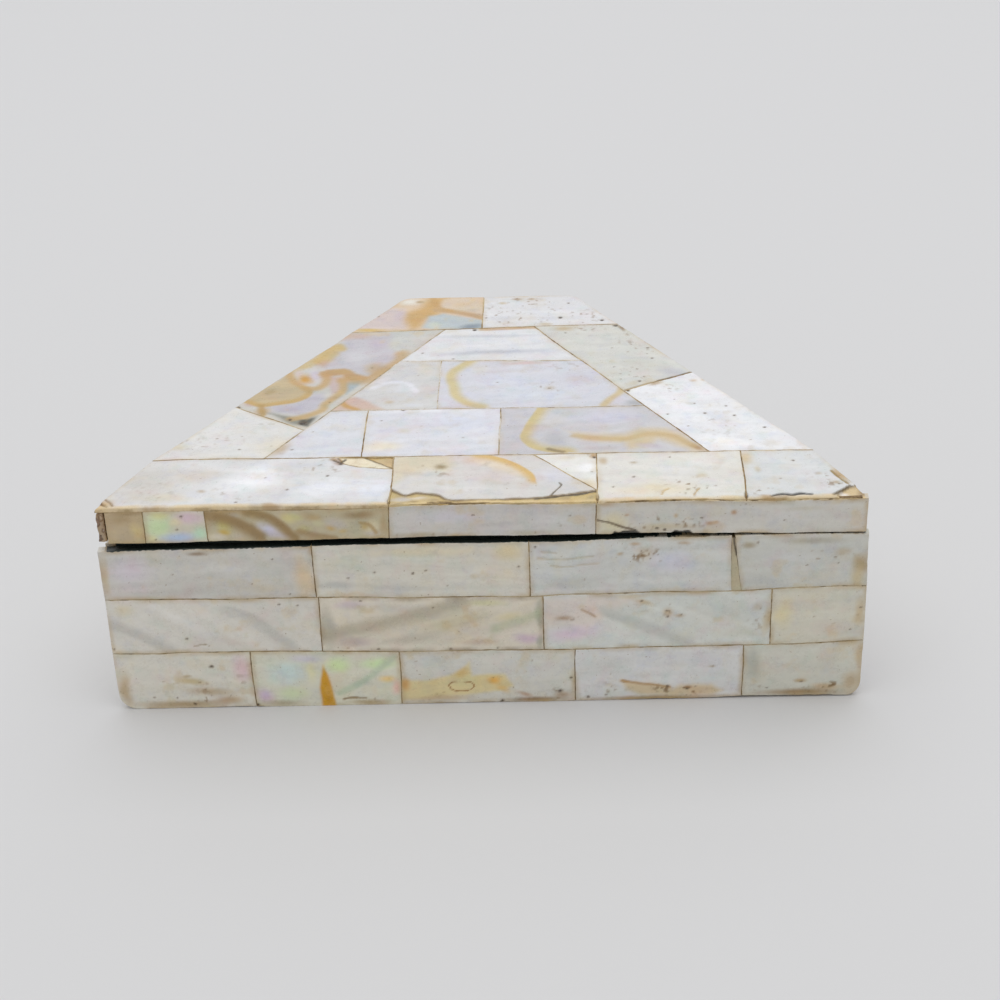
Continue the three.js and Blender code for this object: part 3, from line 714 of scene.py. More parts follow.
# The look of each plaque that shows; plainShell above says what the numbers of an entry are
plaqueLook = {
    "top_front_1": {
        "base": "e4e4e3", "foxed": 0.15, "waves": (-55, 5, 0.05),
        # the bluish-white clouds at (-36, 9), (-26, 5) and (-18, 5) are painted sheen, highlights of the
        # lamps laid into the shell's colour; the grey diagonal cloud at (-31, 12) is the duller band of
        # that painted sheen
        "clouds": [
            (-55, 7, 8, 9, 0, "d3cec5", 0.8), (-36, 9, 9, 4.5, 30, "fcfdff", 1),
            (-18, 5, 6, 4, 0, "eef2fb", 0.8), (-31, 12, 5, 3, 20, "d0d0d0", 0.6),
            (-47, 10, 4, 3, 10, "e0d2c4", 0.6), (-26, 5, 6, 3.5, 35, "f6f8fc", 0.8),
            (-45.5, 4.8, 0.8, 0.6, 0, "b59a6e", 0.6), (-60.8, 1.1, 1.9, 1.5, 0, "cfa860", 0.8),
            (-23.6, 13.6, 1.3, 1.1, -20, "8a6436", 0.8), (-51, 3, 4, 1.6, 0, "dccfae", 0.5),
            (-24.6, 14.6, 1, 0.7, 0, "b9904f", 0.8),
        ],
        "speckled": [(-55, 5, 6, 5, 0.4), (-40, 4, 6, 3, 0.4), (-26, 12.5, 5, 3, 0.5)],
        "pits": [
            (-31.5, 5, 0.3), (-25.2, 9.2, 0.28), (-39.5, 1.2, 0.25), (-35.5, 8.9, 0.2), (-23.3, 13.1, 0.5),
        ],
        "cracks": [
            ([(-61.8, 2.5), (-61.2, 1.2), (-60.3, 0.4)], 0.34, "6a4604", 0.9),
            ([(-60.9, 2.6), (-60, 1.6), (-59.4, 0.6)], 0.3, "8a6014", 0.8),
        ],
        "chips": [
            ([(-24, 15.6), (-22.8, 13), (-20.6, 11.9), (-17.5, 11.5), (-14.5, 11.1), (-14.4, 15.6)],
             0.2, "f7eccf", "c09848"),
            ([(-19.9, 15.6), (-17.6, 13.6), (-14.5, 11.4), (-14.4, 15.6)], 0.32, "dcc08a", "8a6424"),
        ],
        "edges": [
            ([(-23.8, 14.8), (-22.7, 13.2), (-20.4, 12.1), (-17.5, 11.6), (-14.8, 11.3)],
             0.26, "846408", 0.9),
            ([(-19.8, 15.2), (-17.6, 13.7), (-14.8, 11.6)], 0.3, "6a5000", 0.9),
            ([(-24.6, 14.2), (-23.4, 13.6), (-22.6, 14.6)], 0.34, "4a3800", 0.9),
        ],
    },
    "top_front_2": {
        "base": "dedbd6", "foxed": 0.3,
        "areas": [
            ([(-2, 15.6), (0.5, 15.2), (3, 13.9), (5.5, 12.2), (7.3, 10.2), (8.6, 8.2), (8.8, 6.8),
              (7.6, 7.2), (5, 8.4), (1.5, 11), (-1.5, 13.5)], 0.9, "ecdcc4", 0.8),
            ([(-14.6, 15.6), (-6, 15.6), (-4.4, 12), (-6, 9.6), (-9, 10.6), (-12, 9), (-14.6, 6)],
             1.4, "e2d5b4", 0.8),
        ],
        "clouds": [
            (-6.8, 11.3, 1.4, 1, 0, "94793f", 0.8), (2, 8, 4.5, 3, 0, "d9cdcb", 0.7),
            (-10, 7, 3, 1.2, 0, "dcdcd9", 0.6), (12.5, 8, 4, 3.5, 0, "dfdfe9", 0.7),
            (-3, 5, 5, 3, 0, "e6e4e2", 0.6), (-12.8, 0.1, 2, 0.8, 0, "1e1812", 1),
            (-2, 13.6, 1.6, 1.6, 0, "e0cbb4", 0.6),
        ],
        "bands": [
            ([(-0.5, 15.6), (2.5, 14.3), (5, 12.8), (7, 10.8), (8.4, 8.6), (8.9, 6.9)],
             0.35, 1.8, "e0b650", 0.85),
        ],
        "speckled": [(-7, 11, 4, 3, 0.7), (3, 12.5, 3, 1.5, 0.4), (0, 6, 6, 3, 0.3)],
        "cracks": [([(11.5, 2), (12.8, 4), (13.3, 5.3), (13, 6)], 0.26, "5a4600", 1)],
        "chips": [
            ([(-15, 4.8), (-13.5, 3.4), (-12, 2.6), (-10.5, 3.2), (-8.5, 2.8), (-6.5, 2.2), (-5.2, 0.9),
              (-3, 0.6), (3, 0.7), (8, 1), (12, 1.7), (14.5, 2), (17, 2.4), (19.2, 3.4), (19.2, -1),
              (-15, -1)], 0.3, "d6bc7a", "6c5204"),
        ],
        "edges": [
            ([(-14.8, 4.7), (-13.5, 3.5), (-12, 2.7), (-10.5, 3.3), (-8.5, 2.9), (-6.5, 2.3), (-5.2, 1.1),
              (-3, 0.7), (3, 0.8), (8, 1.1), (12, 1.8), (15, 2.3), (18.8, 3.3)], 0.4, "7a5c00", 0.92),
            ([(9, 1), (13, 1.7), (16, 2.2), (18.6, 3)], 0.36, "403000", 0.9),
        ],
        "under": [
            (-12.5, 1.6, 2.4, 0.9, 0, "d2cbc0", 0.9), (-9.6, 1.9, 1.5, 0.5, 0, "f0e8d8", 0.95),
            (-7.4, 1.1, 1.1, 0.5, 0, "8a6c34", 0.8), (-13.4, 0.3, 1.6, 0.35, 0, "3a2c10", 0.95),
            (-10.6, 0.9, 1, 0.4, 0, "9a7c44", 0.7), (-8.5, 1.6, 2.4, 1, 0, "cfb88a", 0.7),
            (4, 0.5, 9, 0.35, 0, "e6cc84", 0.8),
        ],
    },
    "top_front_shard": {
        "base": "f1f0ea", "foxed": 0.3,
        "clouds": [
            (17.5, 10.5, 1.8, 1.5, 0, "ffffff", 0.9), (16.5, 5, 3, 2.4, 0, "e6d5ae", 0.8),
            (18.4, 14.4, 0.9, 1.2, 0, "c59a5c", 0.9), (14, 14, 2, 1.2, 0, "eadfc4", 0.6),
        ],
        "speckled": [(17.5, 13, 2.5, 3, 0.6)],
        "pits": [(18.6, 13.9, 0.4), (18.2, 9.2, 0.2)],
    },
    "top_front_3": {
        "base": "e8e6de", "foxed": 0.2,
        "clouds": [
            (28, 3, 8, 2.4, 0, "efe3c4", 0.8), (20, 12.5, 1, 1.6, 0, "bfa271", 0.7),
            (25.2, 11.8, 0.8, 0.5, 0, "b8a47c", 0.7), (33, 10, 5, 3, 20, "ededed", 0.6),
            (36, 7, 1.2, 0.8, 0, "d9cbb0", 0.7), (25, -0.2, 3.2, 0.5, 0, "5d4529", 0.9),
        ],
        "cracks": [
            ([(30.4, 3.2), (29.6, 2.6), (29.2, 1.4)], 0.35, "d8bd8a", 0.8),
            ([(35.4, 3.2), (34.8, 2.4), (34.3, 1.3)], 0.35, "cfae74", 0.8),
        ],
        "speckled": [(35, 4, 6, 3.5, 0.8), (27, 3, 5, 2, 0.4)],
        "pits": [(31.3, 13.5, 0.22), (25, 7.3, 0.25), (21.5, 4.2, 0.25), (38, 4, 0.16), (36.6, 3.3, 0.18)],
    },
    "top_front_4": {
        "base": "dfe1e0", "foxed": 0.25,
        "clouds": [
            (43.8, 13, 1.4, 2.4, 0, "dcc8a2", 0.9), (58.6, 7, 0.8, 3.2, 28, "c09c50", 0.85),
            (45.3, 9, 0.6, 1.2, 0, "d3bf97", 0.6), (52, 9, 4, 3, 0, "e8e9e9", 0.5),
            (55, 7.6, 0.7, 0.6, 0, "b9a988", 0.6), (57.6, 4.6, 0.9, 0.7, 0, "b3956a", 0.7),
        ],
        "speckled": [(57, 6, 4, 3.5, 0.8), (47, 2, 5, 2, 0.5)],
        "under": [(58.4, 1.2, 1, 0.7, 0, "f6efe6", 0.95), (61.6, 1.6, 1.2, 1.2, 0, "8a6a40", 0.7)],
        "edges": [
            ([(56.6, 0.7), (57.8, 1.7), (58.8, 2.7), (59.8, 3.7)], 0.42, "5e4800", 0.95),
            ([(59.6, 4), (58.4, 6), (57.2, 8.4)], 0.4, "9a7c20", 0.85),
        ],
        "pits": [(51.4, 11.8, 0.3), (48.8, 6.1, 0.22), (45, 2.2, 0.2), (58, 4, 0.25)],
        "cracks": [
            ([(46.8, 0.5), (48.5, 1), (50, 0.7), (51.5, 1.1), (53.2, 0.8)], 0.45, "1a1206", 1),
            ([(57.6, 0.6), (58.6, 2.2), (60, 3.4)], 0.4, "4c3a00", 0.95),
        ],
        "chips": [
            ([(57, -1), (57.2, 0.6), (58.3, 2), (59.5, 3.2), (64, 4.8), (64, -1)],
             0.5, "dcc494", "6c5004"),
        ],
    },
    "top_left_1": {
        "base": "e6e5e1", "foxed": 0.25,
        "clouds": [
            (-35, 19, 4, 4, 0, "e9dfc8", 0.7), (-50, 18, 4, 2, 0, "e0e0e2", 0.5),
            (-37, 29.3, 3, 0.9, -35, "c9b48c", 0.8), (-46, 26, 3, 3, 0, "ebeae8", 0.5),
            (-51, 19.5, 2, 1.4, 0, "dcd6bc", 0.6),
        ],
        "speckled": [(-50, 20, 6, 4, 0.4), (-37, 28, 5, 2, 0.5), (-42, 22, 4, 4, 0.3)],
        "pits": [(-45.2, 22.3, 0.22), (-40.9, 18.4, 0.26), (-41, 23, 0.15), (-35.6, 19.3, 0.15)],
    },
    "top_left_2": {
        "base": "d7d5ce", "foxed": 0.3, "foxTone": "e4c684", "deepen": 1.2,
        "areas": [
            ([(-29.5, 47), (-25, 46.5), (-21, 43.5), (-17, 48.5), (-15.5, 52), (-17.5, 56), (-14, 61),
              (-27, 61), (-26.5, 56), (-29.5, 52)], 1.2, "d0cdd3", 0.9),
            ([(-17.5, 60.5), (-18, 55), (-15.5, 52.5), (-9.5, 62), (-17, 62)], 1, "d6d7d1", 0.9),
            ([(-41.8, 35.6), (-39.5, 33.6), (-36, 34), (-33, 35), (-31.2, 36.6), (-30.7, 38.5),
              (-31.4, 40), (-33.4, 41.5), (-34.6, 43.5), (-35.6, 45.6), (-36.6, 43), (-39.5, 40)],
             0.6, "d0bc90", 0.9),
            ([(-30.6, 50.6), (-29.7, 53.4), (-28.2, 55.8), (-26.6, 55.6), (-27, 53), (-28.2, 50),
              (-29.5, 48.5)], 0.8, "d6c284", 0.9),
            ([(-36, 47.5), (-34, 50), (-30.8, 51.5), (-30, 49), (-32, 47.5), (-34, 46)],
             0.7, "d6c28c", 0.8),
            ([(-29, 44), (-28.6, 46.6), (-25.4, 47), (-23.2, 45), (-21, 43.8), (-19.5, 45.5), (-21.5, 42),
              (-24.8, 42.6), (-25.6, 44.6)], 0.6, "c9a064", 0.9),
            ([(-27.6, 44), (-27.8, 41), (-26.8, 37.5), (-25.6, 38.5), (-25.4, 42), (-25.8, 44)],
             0.6, "d2bfba", 0.9),
            ([(-24.9, 41.8), (-21, 42.6), (-24.4, 37.2), (-25, 39)], 0.5, "b3bfc1", 0.95),
            ([(-27, 35.6), (-25, 36.8), (-26, 34.4), (-29.6, 29.4), (-27.8, 33)], 0.6, "cfd2ca", 0.8),
            ([(-37.6, 33.4), (-33, 34.6), (-30, 37.6), (-28.4, 38), (-28.2, 34), (-29, 31.4), (-32, 30),
              (-36, 31)], 0.9, "c9c6cf", 0.9),
            ([(-37.4, 31), (-34.5, 29.9), (-31.4, 29), (-28.6, 29.6), (-30.2, 26), (-33, 27)],
             0.7, "8b8c7e", 0.85),
            ([(-31.6, 28.6), (-29, 28.9), (-30, 26.2), (-31.4, 26.6)], 0.4, "3f4438", 0.9),
        ],
        "clouds": [
            (-33.2, 45.3, 1, 2, 15, "dccbc4", 0.8), (-30.3, 44.6, 1.2, 2.6, 15, "dcd8de", 0.9),
            (-23.5, 51.5, 3, 3.6, 0, "dadadc", 0.7), (-35, 38, 2.4, 1.6, 40, "c9b898", 0.7),
            (-38, 38.4, 1.4, 1, 50, "b9a56c", 0.6), (-20, 57, 2, 3, 20, "cfc3cc", 0.8),
            (-25.5, 60, 5, 1.6, 0, "d6bfac", 0.8), (-29.6, 49, 1.4, 2, 0, "cfb5a4", 0.7),
            (-40.8, 34.2, 1.6, 1, 0, "cfb8b0", 0.9), (-33.5, 32, 2, 1, 10, "bfbcc8", 0.8),
            (-38.3, 31.6, 1.4, 1.6, 0, "c6ad80", 0.8), (-28, 31, 1, 1.4, 30, "e2e2dc", 0.6),
            (-19.5, 46.5, 2.6, 3, 30, "cfb68a", 0.8),
        ],
        "bands": [
            ([(-41.8, 35.2), (-39, 33.6), (-36.5, 34), (-33, 35), (-31.2, 36.5), (-30.6, 38.5),
              (-31.4, 40)], 1.3, 0.6, "cfaf66", 0.9),
            ([(-38.8, 33.6), (-38.4, 31.8), (-38, 30.3)], 0.6, 1, "c4a45c", 0.85),
            ([(-33, 28.5), (-30.5, 29.6), (-28, 31.6), (-27.5, 34), (-26, 36.6), (-25, 38.6), (-25, 41),
              (-25.4, 42.5)], 1.3, 1, "cdae70", 0.85),
            ([(-35.8, 47.5), (-35, 45), (-34.2, 43), (-33, 41.2), (-31.5, 39.9), (-29.8, 39.7),
              (-28.6, 41), (-28.2, 43), (-28.7, 45)], 1.2, 1.2, "cfae70", 0.85),
            ([(-29, 45.6), (-27, 46.2), (-24.8, 46)], 1, 1.4, "ccac70", 0.8),
            ([(-24.6, 43.2), (-22.5, 42.5), (-20.4, 42.8), (-18.5, 45.5), (-16.5, 48.5), (-15.5, 50.5),
              (-15.6, 52.4)], 1.7, 2.2, "cdaa6c", 0.75),
            ([(-30.6, 50), (-29.9, 52.6), (-28.8, 55), (-27.2, 56.2), (-26.4, 55)],
             1.2, 1.4, "d6bc78", 0.85),
        ],
        "late": [(-31.8, 43.4, 1.5, 2.2, 15, "d9a832", 1)],
        "pits": [
            (-27, 34.5, 0.2), (-20.5, 47.2, 0.2), (-31, 27.2, 0.7), (-33.2, 28.4, 0.4), (-42.9, 33.2, 0.5),
        ],
    },
    "top_right_2": {
        "base": "ddddd6", "foxed": 0.3, "deepen": 1.1,
        "clouds": [
            (33.5, 44, 4, 2, -30, "c6c6cc", 0.8), (14, 61.5, 2.4, 1.4, 0, "cbb48a", 0.8),
            (24.6, 61.4, 0.6, 1.6, 25, "8a6a40", 0.9), (22, 54, 5, 3, -30, "dfdfd9", 0.6),
            (28, 47, 5, 3, -30, "d0d1c7", 0.6), (30, 55, 0.8, 5, 32, "cbbd9c", 0.8),
            (26, 39.6, 2, 1, 30, "cfc7b0", 0.7),
        ],
        "speckled": [(27, 56, 5, 7, 0.7), (27, 42, 5, 5, 0.6), (18, 61, 6, 2.5, 0.5)],
        "pits": [
            (22.6, 53.4, 0.2), (29.8, 49.2, 0.25), (27, 45, 0.22), (28.2, 42, 0.2), (27.3, 40.4, 0.35),
            (14.4, 59.8, 0.25), (23.6, 62.6, 0.5), (22.8, 46, 0.18), (29, 51, 0.18), (29.2, 53.2, 0.3),
        ],
        "cracks": [
            ([(24.6, 37.2), (27.5, 38.9), (30.5, 40.4)], 0.3, "a8906a", 0.7),
            ([(30.5, 40.4), (33.5, 42), (36.2, 43.6)], 0.4, "33261a", 0.9),
        ],
    },
    "top_right_1": {
        "base": "f2f3f5", "foxed": 0.25, "soil": 0.25, "round": 0.15, "waves": (35, 1.6, 0.03),
        # the white clouds at (34, 31), (41, 18.4) and (46, 20) are painted sheen, glints and glare of the
        # lamps laid into the shell's colour
        "clouds": [
            (34, 31, 5, 2.2, -52, "fbfcff", 0.9), (41, 18.4, 5.5, 1.8, -20, "ffffff", 1),
            (30, 39.4, 1.6, 0.7, 30, "bb9c66", 0.8), (46, 20, 4, 2, -55, "f4f6fa", 0.7),
            (40, 27, 4, 1.4, -30, "dfe3ea", 0.7), (36.6, 40.4, 0.8, 0.6, 0, "d3b891", 0.7),
            (38.4, 40.6, 0.6, 0.5, 0, "d3b891", 0.6),
        ],
        "speckled": [(30, 37.5, 5, 2.5, 0.5), (41, 26, 8, 7, 0.3)],
        "pits": [
            (38, 28.4, 0.35), (31.6, 28.2, 0.25), (43, 27.6, 0.28), (47.7, 23.1, 0.3), (41.8, 30.9, 0.25),
            (34.8, 24, 0.22), (33, 33.6, 0.16), (36.4, 32, 0.18), (45, 19, 0.16), (25.2, 37, 0.35),
        ],
    },
    "top_back_1": {
        "base": "e4ceb2", "foxed": 0.3, "foxTone": "e4c684", "deepen": 1.16,
        "areas": [
            ([(-25, 62.8), (-19, 71.8), (-16, 71), (-14.6, 68), (-15, 62.5)], 0.9, "ddd0cd", 0.9),
            ([(-15.8, 66.5), (-14, 62.3), (-12.6, 63.6), (-11.6, 66.4), (-9, 68), (-9.6, 70.5), (-8, 75.6),
              (-11.4, 75.6), (-12.6, 71.4), (-15.4, 69)], 1.4, "d6b068", 0.95),
            ([(-9.5, 70), (-1.2, 67), (-1.2, 72), (-4, 75), (-8.5, 75)], 0.7, "e2d2bc", 0.9),
            ([(-11, 67.6), (-8.5, 68.6), (-1.1, 65.8), (-1.1, 62), (-8, 61.6), (-12.2, 63)],
             0.7, "c4cfd2", 0.95),
        ],
        "clouds": [
            (-22, 62.4, 3.4, 0.8, 0, "e0c268", 0.9), (-3.2, 63.2, 3, 1.4, 10, "8794a0", 0.9),
            (-15, 74, 2.6, 1.6, 0, "eeece2", 0.9), (-13, 73.8, 0.9, 0.6, 0, "ab8e60", 0.8),
            (-16.5, 68, 1.6, 3, 0, "d4c5cb", 0.7), (-5, 72.5, 2.4, 1.2, 0, "e6cfae", 0.7),
            (-3, 69.8, 1.6, 1, 0, "d3c0b0", 0.7), (-10, 64, 1.4, 1.6, 0, "dfe0cc", 0.7),
        ],
        "bands": [
            ([(-9.8, 70), (-6, 69), (-3, 67.6), (-1.1, 66.4)], 1.5, 0.9, "c8a672", 0.85),
            ([(-10.6, 75.6), (-10, 73), (-9, 71), (-7, 69.8)], 0.8, 1, "cea660", 0.7),
        ],
        "pits": [(-2.4, 61.9, 0.4), (-20.6, 68, 0.2)],
    },
    "top_back_2": {
        "base": "e7e7e8", "foxed": 0.45, "foxTone": "d9d0bd", "deepen": 1.08,
        "clouds": [
            (5.3, 74.3, 1.2, 0.6, 0, "ae8a58", 0.8), (8, 74.2, 1, 0.6, 0, "b89868", 0.7),
            (2.6, 72.6, 1, 0.7, 0, "cdb68e", 0.7), (12, 69, 5, 3, 0, "ededef", 0.5),
            (10.5, 63.6, 1.6, 0.8, 0, "cbb993", 0.7), (3, 66, 3, 2, 0, "dcdde4", 0.6),
        ],
        "speckled": [(6, 68, 9, 6, 0.7), (18, 66, 5, 4, 0.6), (5, 73.5, 6, 2, 0.8)],
        "pits": [
            (13.4, 66.2, 0.4), (15, 72.2, 0.28), (21.2, 64.8, 0.35), (8, 68, 0.18), (-0.3, 66.5, 0.25),
            (17.6, 64, 0.2), (4.6, 69.4, 0.18), (18.4, 67.4, 0.2), (11.4, 72.8, 0.16), (6.4, 71.4, 0.16),
        ],
    },
    "top_field_1": {
        "base": "e0e2e7", "foxed": 0.15,
        "clouds": [
            (-34.2, 18.2, 1.6, 3, -28, "cbb186", 0.8), (-26, 22, 4, 5, 20, "e4e6ed", 0.5),
            (-31.6, 24, 0.8, 1.6, -30, "cfbd98", 0.7),
        ],
        "speckled": [(-32.5, 20, 2.5, 4.5, 0.6)],
        "pits": [(-29, 24, 0.16), (-32, 18, 0.25), (-23.5, 25, 0.12)],
    },
    "top_field_2": {
        "base": "e4e5eb", "foxed": 0.2,
        "clouds": [
            (-17, 18.6, 4, 2.2, 0, "f1e7cf", 0.9), (-4, 27, 6, 3.4, 0, "e2e7f5", 0.8),
            (-13.6, 24, 1.4, 1, 0, "d6cfb8", 0.6), (-8, 19.5, 6, 1.6, 10, "d9d9d8", 0.5),
            (-10, 30.8, 9, 0.6, 0, "f6f7fa", 0.6),
        ],
        "pits": [(-17.5, 27.6, 0.22), (-3.3, 21.2, 0.16), (-10.6, 25.4, 0.12), (-14, 31.2, 0.3)],
    },
    "top_field_3": {
        "base": "d5d4d6", "foxed": 0.05, "deepen": 1.08,
        "areas": [
            ([(15, 22.4), (19, 21.8), (24, 21.6), (26.6, 23.4), (31, 23.2), (33.5, 21.4), (36.8, 16.8),
              (37.6, 15.4), (35, 15.6), (32, 18), (29.6, 19.6), (27.4, 17), (24.5, 16.4), (23.6, 18.8),
              (20, 19.2), (16.5, 20)], 1.3, "dcc8a0", 0.9),
            ([(3, 15.3), (3, 32), (9, 32), (6.2, 21), (8, 17), (13, 15.3)], 1, "cfcdd2", 0.8),
        ],
        "clouds": [
            (21, 27.5, 7, 3, 0, "d9d8e8", 0.8), (12, 20, 2.6, 4, 20, "bcbcbf", 0.7),
            (28, 17.4, 3, 1, -10, "cfc4ca", 0.8), (35.8, 16.8, 2, 0.8, -45, "a98048", 0.8),
            (5, 18, 2, 2, 0, "d6c9c8", 0.6), (20, 17, 4, 0.9, 0, "cdc2c4", 0.7),
            (15, 29, 4, 2, 0, "ccd0d2", 0.6),
        ],
        "bands": [
            ([(15.5, 21.2), (19, 20.4), (24, 20), (28, 21.4), (32, 20.6), (35.4, 17.4)],
             0.9, 1.1, "d0b47c", 0.7),
            ([(9.8, 32), (8.4, 28), (7.2, 24), (6.5, 20.8), (7.8, 18.2), (10, 16.6), (14, 15.7)],
             2.3, 0.5, "d6c282", 0.9),
            ([(11, 16.9), (13.4, 15.8)], 0.7, 0.5, "7b6338", 0.7),
        ],
    },
    "top_field_4": {
        "base": "d9d8d6", "foxed": 0.2, "deepen": 1.05,
        "areas": [
            ([(-25, 35.8), (-22.8, 36.2), (-20.4, 34.6), (-17.5, 31.6), (-26.6, 31.4)],
             0.7, "d6b8a6", 0.9),
        ],
        # the bluish-white cloud at (-14, 39.5) is a painted glint, a highlight laid into the shell's colour
        "clouds": [
            (-14, 39.5, 3, 4, 20, "e4e7ee", 0.5), (-19, 42, 3, 1.4, 30, "e9e4ea", 0.7),
            (-16.6, 34.3, 1, 0.8, 0, "cdbb9b", 0.7), (-11, 46, 2, 3, 0, "e6dccb", 0.6),
            (-12.5, 33, 2.5, 1, 0, "dfe2e6", 0.6),
        ],
        "bands": [
            ([(-25.4, 35.2), (-24, 33), (-22, 31.6)], 0.8, 0.9, "cc9c40", 0.9),
            ([(-20, 39.5), (-17, 41.5), (-13.6, 41), (-12, 38)], 0.6, 0.9, "f0f0f6", 0.7),
        ],
        "pits": [(-12, 44, 0.14)],
    },
    "top_field_5": {
        "base": "dbdce3", "foxed": 0.15, "deepen": 1.04,
        "clouds": [
            (7, 48, 5, 0.7, 0, "dcbfba", 0.7), (26.5, 32.5, 2.6, 1.6, 0, "b0b4ba", 0.9),
            (11.3, 38.4, 1.2, 1, 0, "c4b190", 0.7), (4, 41, 6, 4, 0, "dfe2ec", 0.7),
            (17, 42, 5, 3, 0, "cfcfda", 0.6), (-1, 46, 2, 2.4, 0, "e0d9cc", 0.6),
            (9, 36, 8, 3, 0, "dde4ec", 0.6),
        ],
        "bands": [
            ([(-3, 49.4), (-4.8, 47), (-6, 45), (-6.3, 42.5), (-5.6, 39.5), (-5, 36), (-3, 33.2),
              (-0.5, 31.8)], 1.8, 1.1, "dac88c", 0.9),
            ([(24.4, 38.8), (23.5, 36.5), (22.3, 34.8), (20.6, 32)], 1.1, 1, "d6c088", 0.85),
        ],
        "speckled": [(11.3, 38.5, 3, 2.5, 0.7), (20, 40, 4, 3, 0.4), (14, 46, 5, 2.5, 0.3)],
        "pits": [(11.2, 38.3, 0.25), (15, 45, 0.14), (2.2, 40.8, 0.2), (17, 42.6, 0.14), (20, 39.6, 0.14)],
    },
    "top_field_6": {
        "base": "e7e8ea", "foxed": 0.1, "waves": (90, 3.1, 0.05),
        "areas": [([(-1.6, 61.2), (3, 61.4), (9.6, 61.6), (9.6, 63.6), (-1.6, 63)], 0.35, "cda878", 0.85)],
        "clouds": [
            (0, 59, 12, 0.9, -1, "d2d4da", 0.8), (2, 52.6, 13, 1.1, 2, "c6c8d0", 0.85),
            (-1, 55.6, 10, 1.4, 0, "efeff2", 0.7), (6, 62.3, 2.4, 0.5, 0, "b08c58", 0.7),
            (-7, 61, 2, 0.8, 20, "dcd8d0", 0.6),
        ],
        "pits": [
            (-6, 50.3, 0.26), (-11.6, 52.7, 0.25), (4.8, 54, 0.14), (5, 50.4, 0.12), (8.8, 62.2, 0.3),
            (-2.3, 61.7, 0.5),
        ],
    },
    "rim_front_1": {
        "base": "ccb791",
        "clouds": [
            (-58.5, 4.5, 2.4, 1.2, 0, "b4976a", 0.7), (-56, 2, 1.4, 1.8, 0, "e0cc8e", 0.7),
            (-59.5, 1.6, 1.6, 1, 0, "d9c6a0", 0.6), (-57, 5.6, 3, 0.5, 0, "8f7148", 0.6),
        ],
    },
    "rim_front_2": {
        "base": "e1ddc6", "foxed": 0.1,
        "clouds": [
            (-52.5, 3.2, 2.8, 2.6, 0, "dcf7b8", 0.8), (-52, 5.2, 2, 0.9, 0, "f0f0a8", 0.7),
            (-47, 4.8, 2.8, 1.4, 0, "f0cfe0", 0.8), (-49, 0.9, 3.6, 1.3, 0, "bcd6fa", 0.85),
            (-45.7, 1.8, 1.4, 1.6, 0, "cdf5d0", 0.8), (-49.5, 4, 1.4, 0.9, 0, "fdf3c0", 0.7),
            (-53.6, 0.9, 1, 0.8, 0, "f0e6a0", 0.6),
        ],
        "pits": [(-48.3, 4.9, 0.25), (-49.3, 2.5, 0.22), (-53, 0.7, 0.2)],
    },
    "rim_front_3": {
        "base": "d5cbad", "foxed": 0.3, "deepen": 1.15,
        "clouds": [
            (-41.5, 3, 1.6, 1.4, -20, "e6de90", 0.8), (-41.7, 1.8, 1.2, 0.6, -10, "d8bc58", 0.8),
            (-24, 2.5, 1, 0.6, -10, "d9b75c", 0.8), (-22.2, 1.8, 0.8, 0.5, 0, "d6ba72", 0.6),
            (-34.4, 2.3, 2.2, 1.1, -30, "e9e4f2", 0.95), (-31, 4.4, 1.6, 1.2, -20, "ebe0a0", 0.8),
            (-19.6, 4.8, 3, 0.9, 0, "ae8f5e", 0.8), (-17.6, 2.4, 1.6, 1.4, 0, "f1e6c4", 0.8),
            (-27, 4.6, 2.4, 0.9, -10, "cbb07c", 0.7), (-43, 0.9, 1.8, 0.8, 0, "efe6d0", 0.8),
            (-38, 5.2, 1.8, 0.6, -20, "e3d4b0", 0.7), (-28.6, 2.4, 1.4, 0.9, 0, "d9cf94", 0.7),
            (-39.4, 1, 1.4, 0.8, 0, "dcd4c0", 0.7), (-33, 1.3, 3, 0.9, -10, "ded6da", 0.8),
            (-23.4, 3.4, 2.4, 1.2, -20, "dcd4c8", 0.8), (-18.8, 2.6, 0.8, 0.8, 0, "d2b877", 0.8),
            (-26.2, 3.4, 1.2, 0.8, 0, "dcd6b0", 0.8), (-29.6, 4.6, 1.2, 0.7, -20, "dcd79c", 0.7),
            (-17.4, 1.2, 1.6, 0.7, 0, "ddd5cc", 0.7), (-39.8, 5, 1.2, 0.6, -25, "ddd8cc", 0.7),
            (-15.6, 3, 0.8, 2.4, 0, "c4a472", 0.6),
        ],
        "bands": [
            ([(-44.4, 5.3), (-42, 4.9), (-39.4, 3.8), (-37.2, 2.4), (-35.8, 1.2)],
             1.3, 2.1, "a88850", 0.85),
            ([(-37.6, 5.7), (-34.4, 4.9), (-32.4, 3.4), (-30.8, 1.6), (-30, 0.8)],
             0.8, 1.5, "a88850", 0.85),
            ([(-29.4, 2), (-26.8, 1.2), (-23.6, 0.6)], 0.7, 1.1, "b3935f", 0.7),
            ([(-19.4, 3.4), (-18, 3), (-16.8, 1.4)], 0.4, 0.5, "c0a26a", 0.8),
        ],
    },
    "rim_front_4": {
        "base": "dcd8d1",
        "clouds": [
            (-4, 4, 7, 1.4, 0, "dfdae3", 0.7), (-10, 0.9, 5, 0.7, 0, "b3a27c", 0.7),
            (8, 1, 5, 0.6, 0, "c4bba4", 0.6), (12, 3.4, 4, 1.4, 0, "e6e5e3", 0.6),
            (3, 2.6, 6, 0.5, 6, "cdcac4", 0.6),
        ],
        "speckled": [(-10, 1.2, 6, 1.2, 0.6), (12, 1.5, 4, 1.2, 0.6)],
        "pits": [(-1.2, 4.4, 0.2), (14.6, 4.1, 0.16), (9, 1, 0.18)],
    },
    "rim_front_5": {
        "base": "dcd9cf",
        "clouds": [
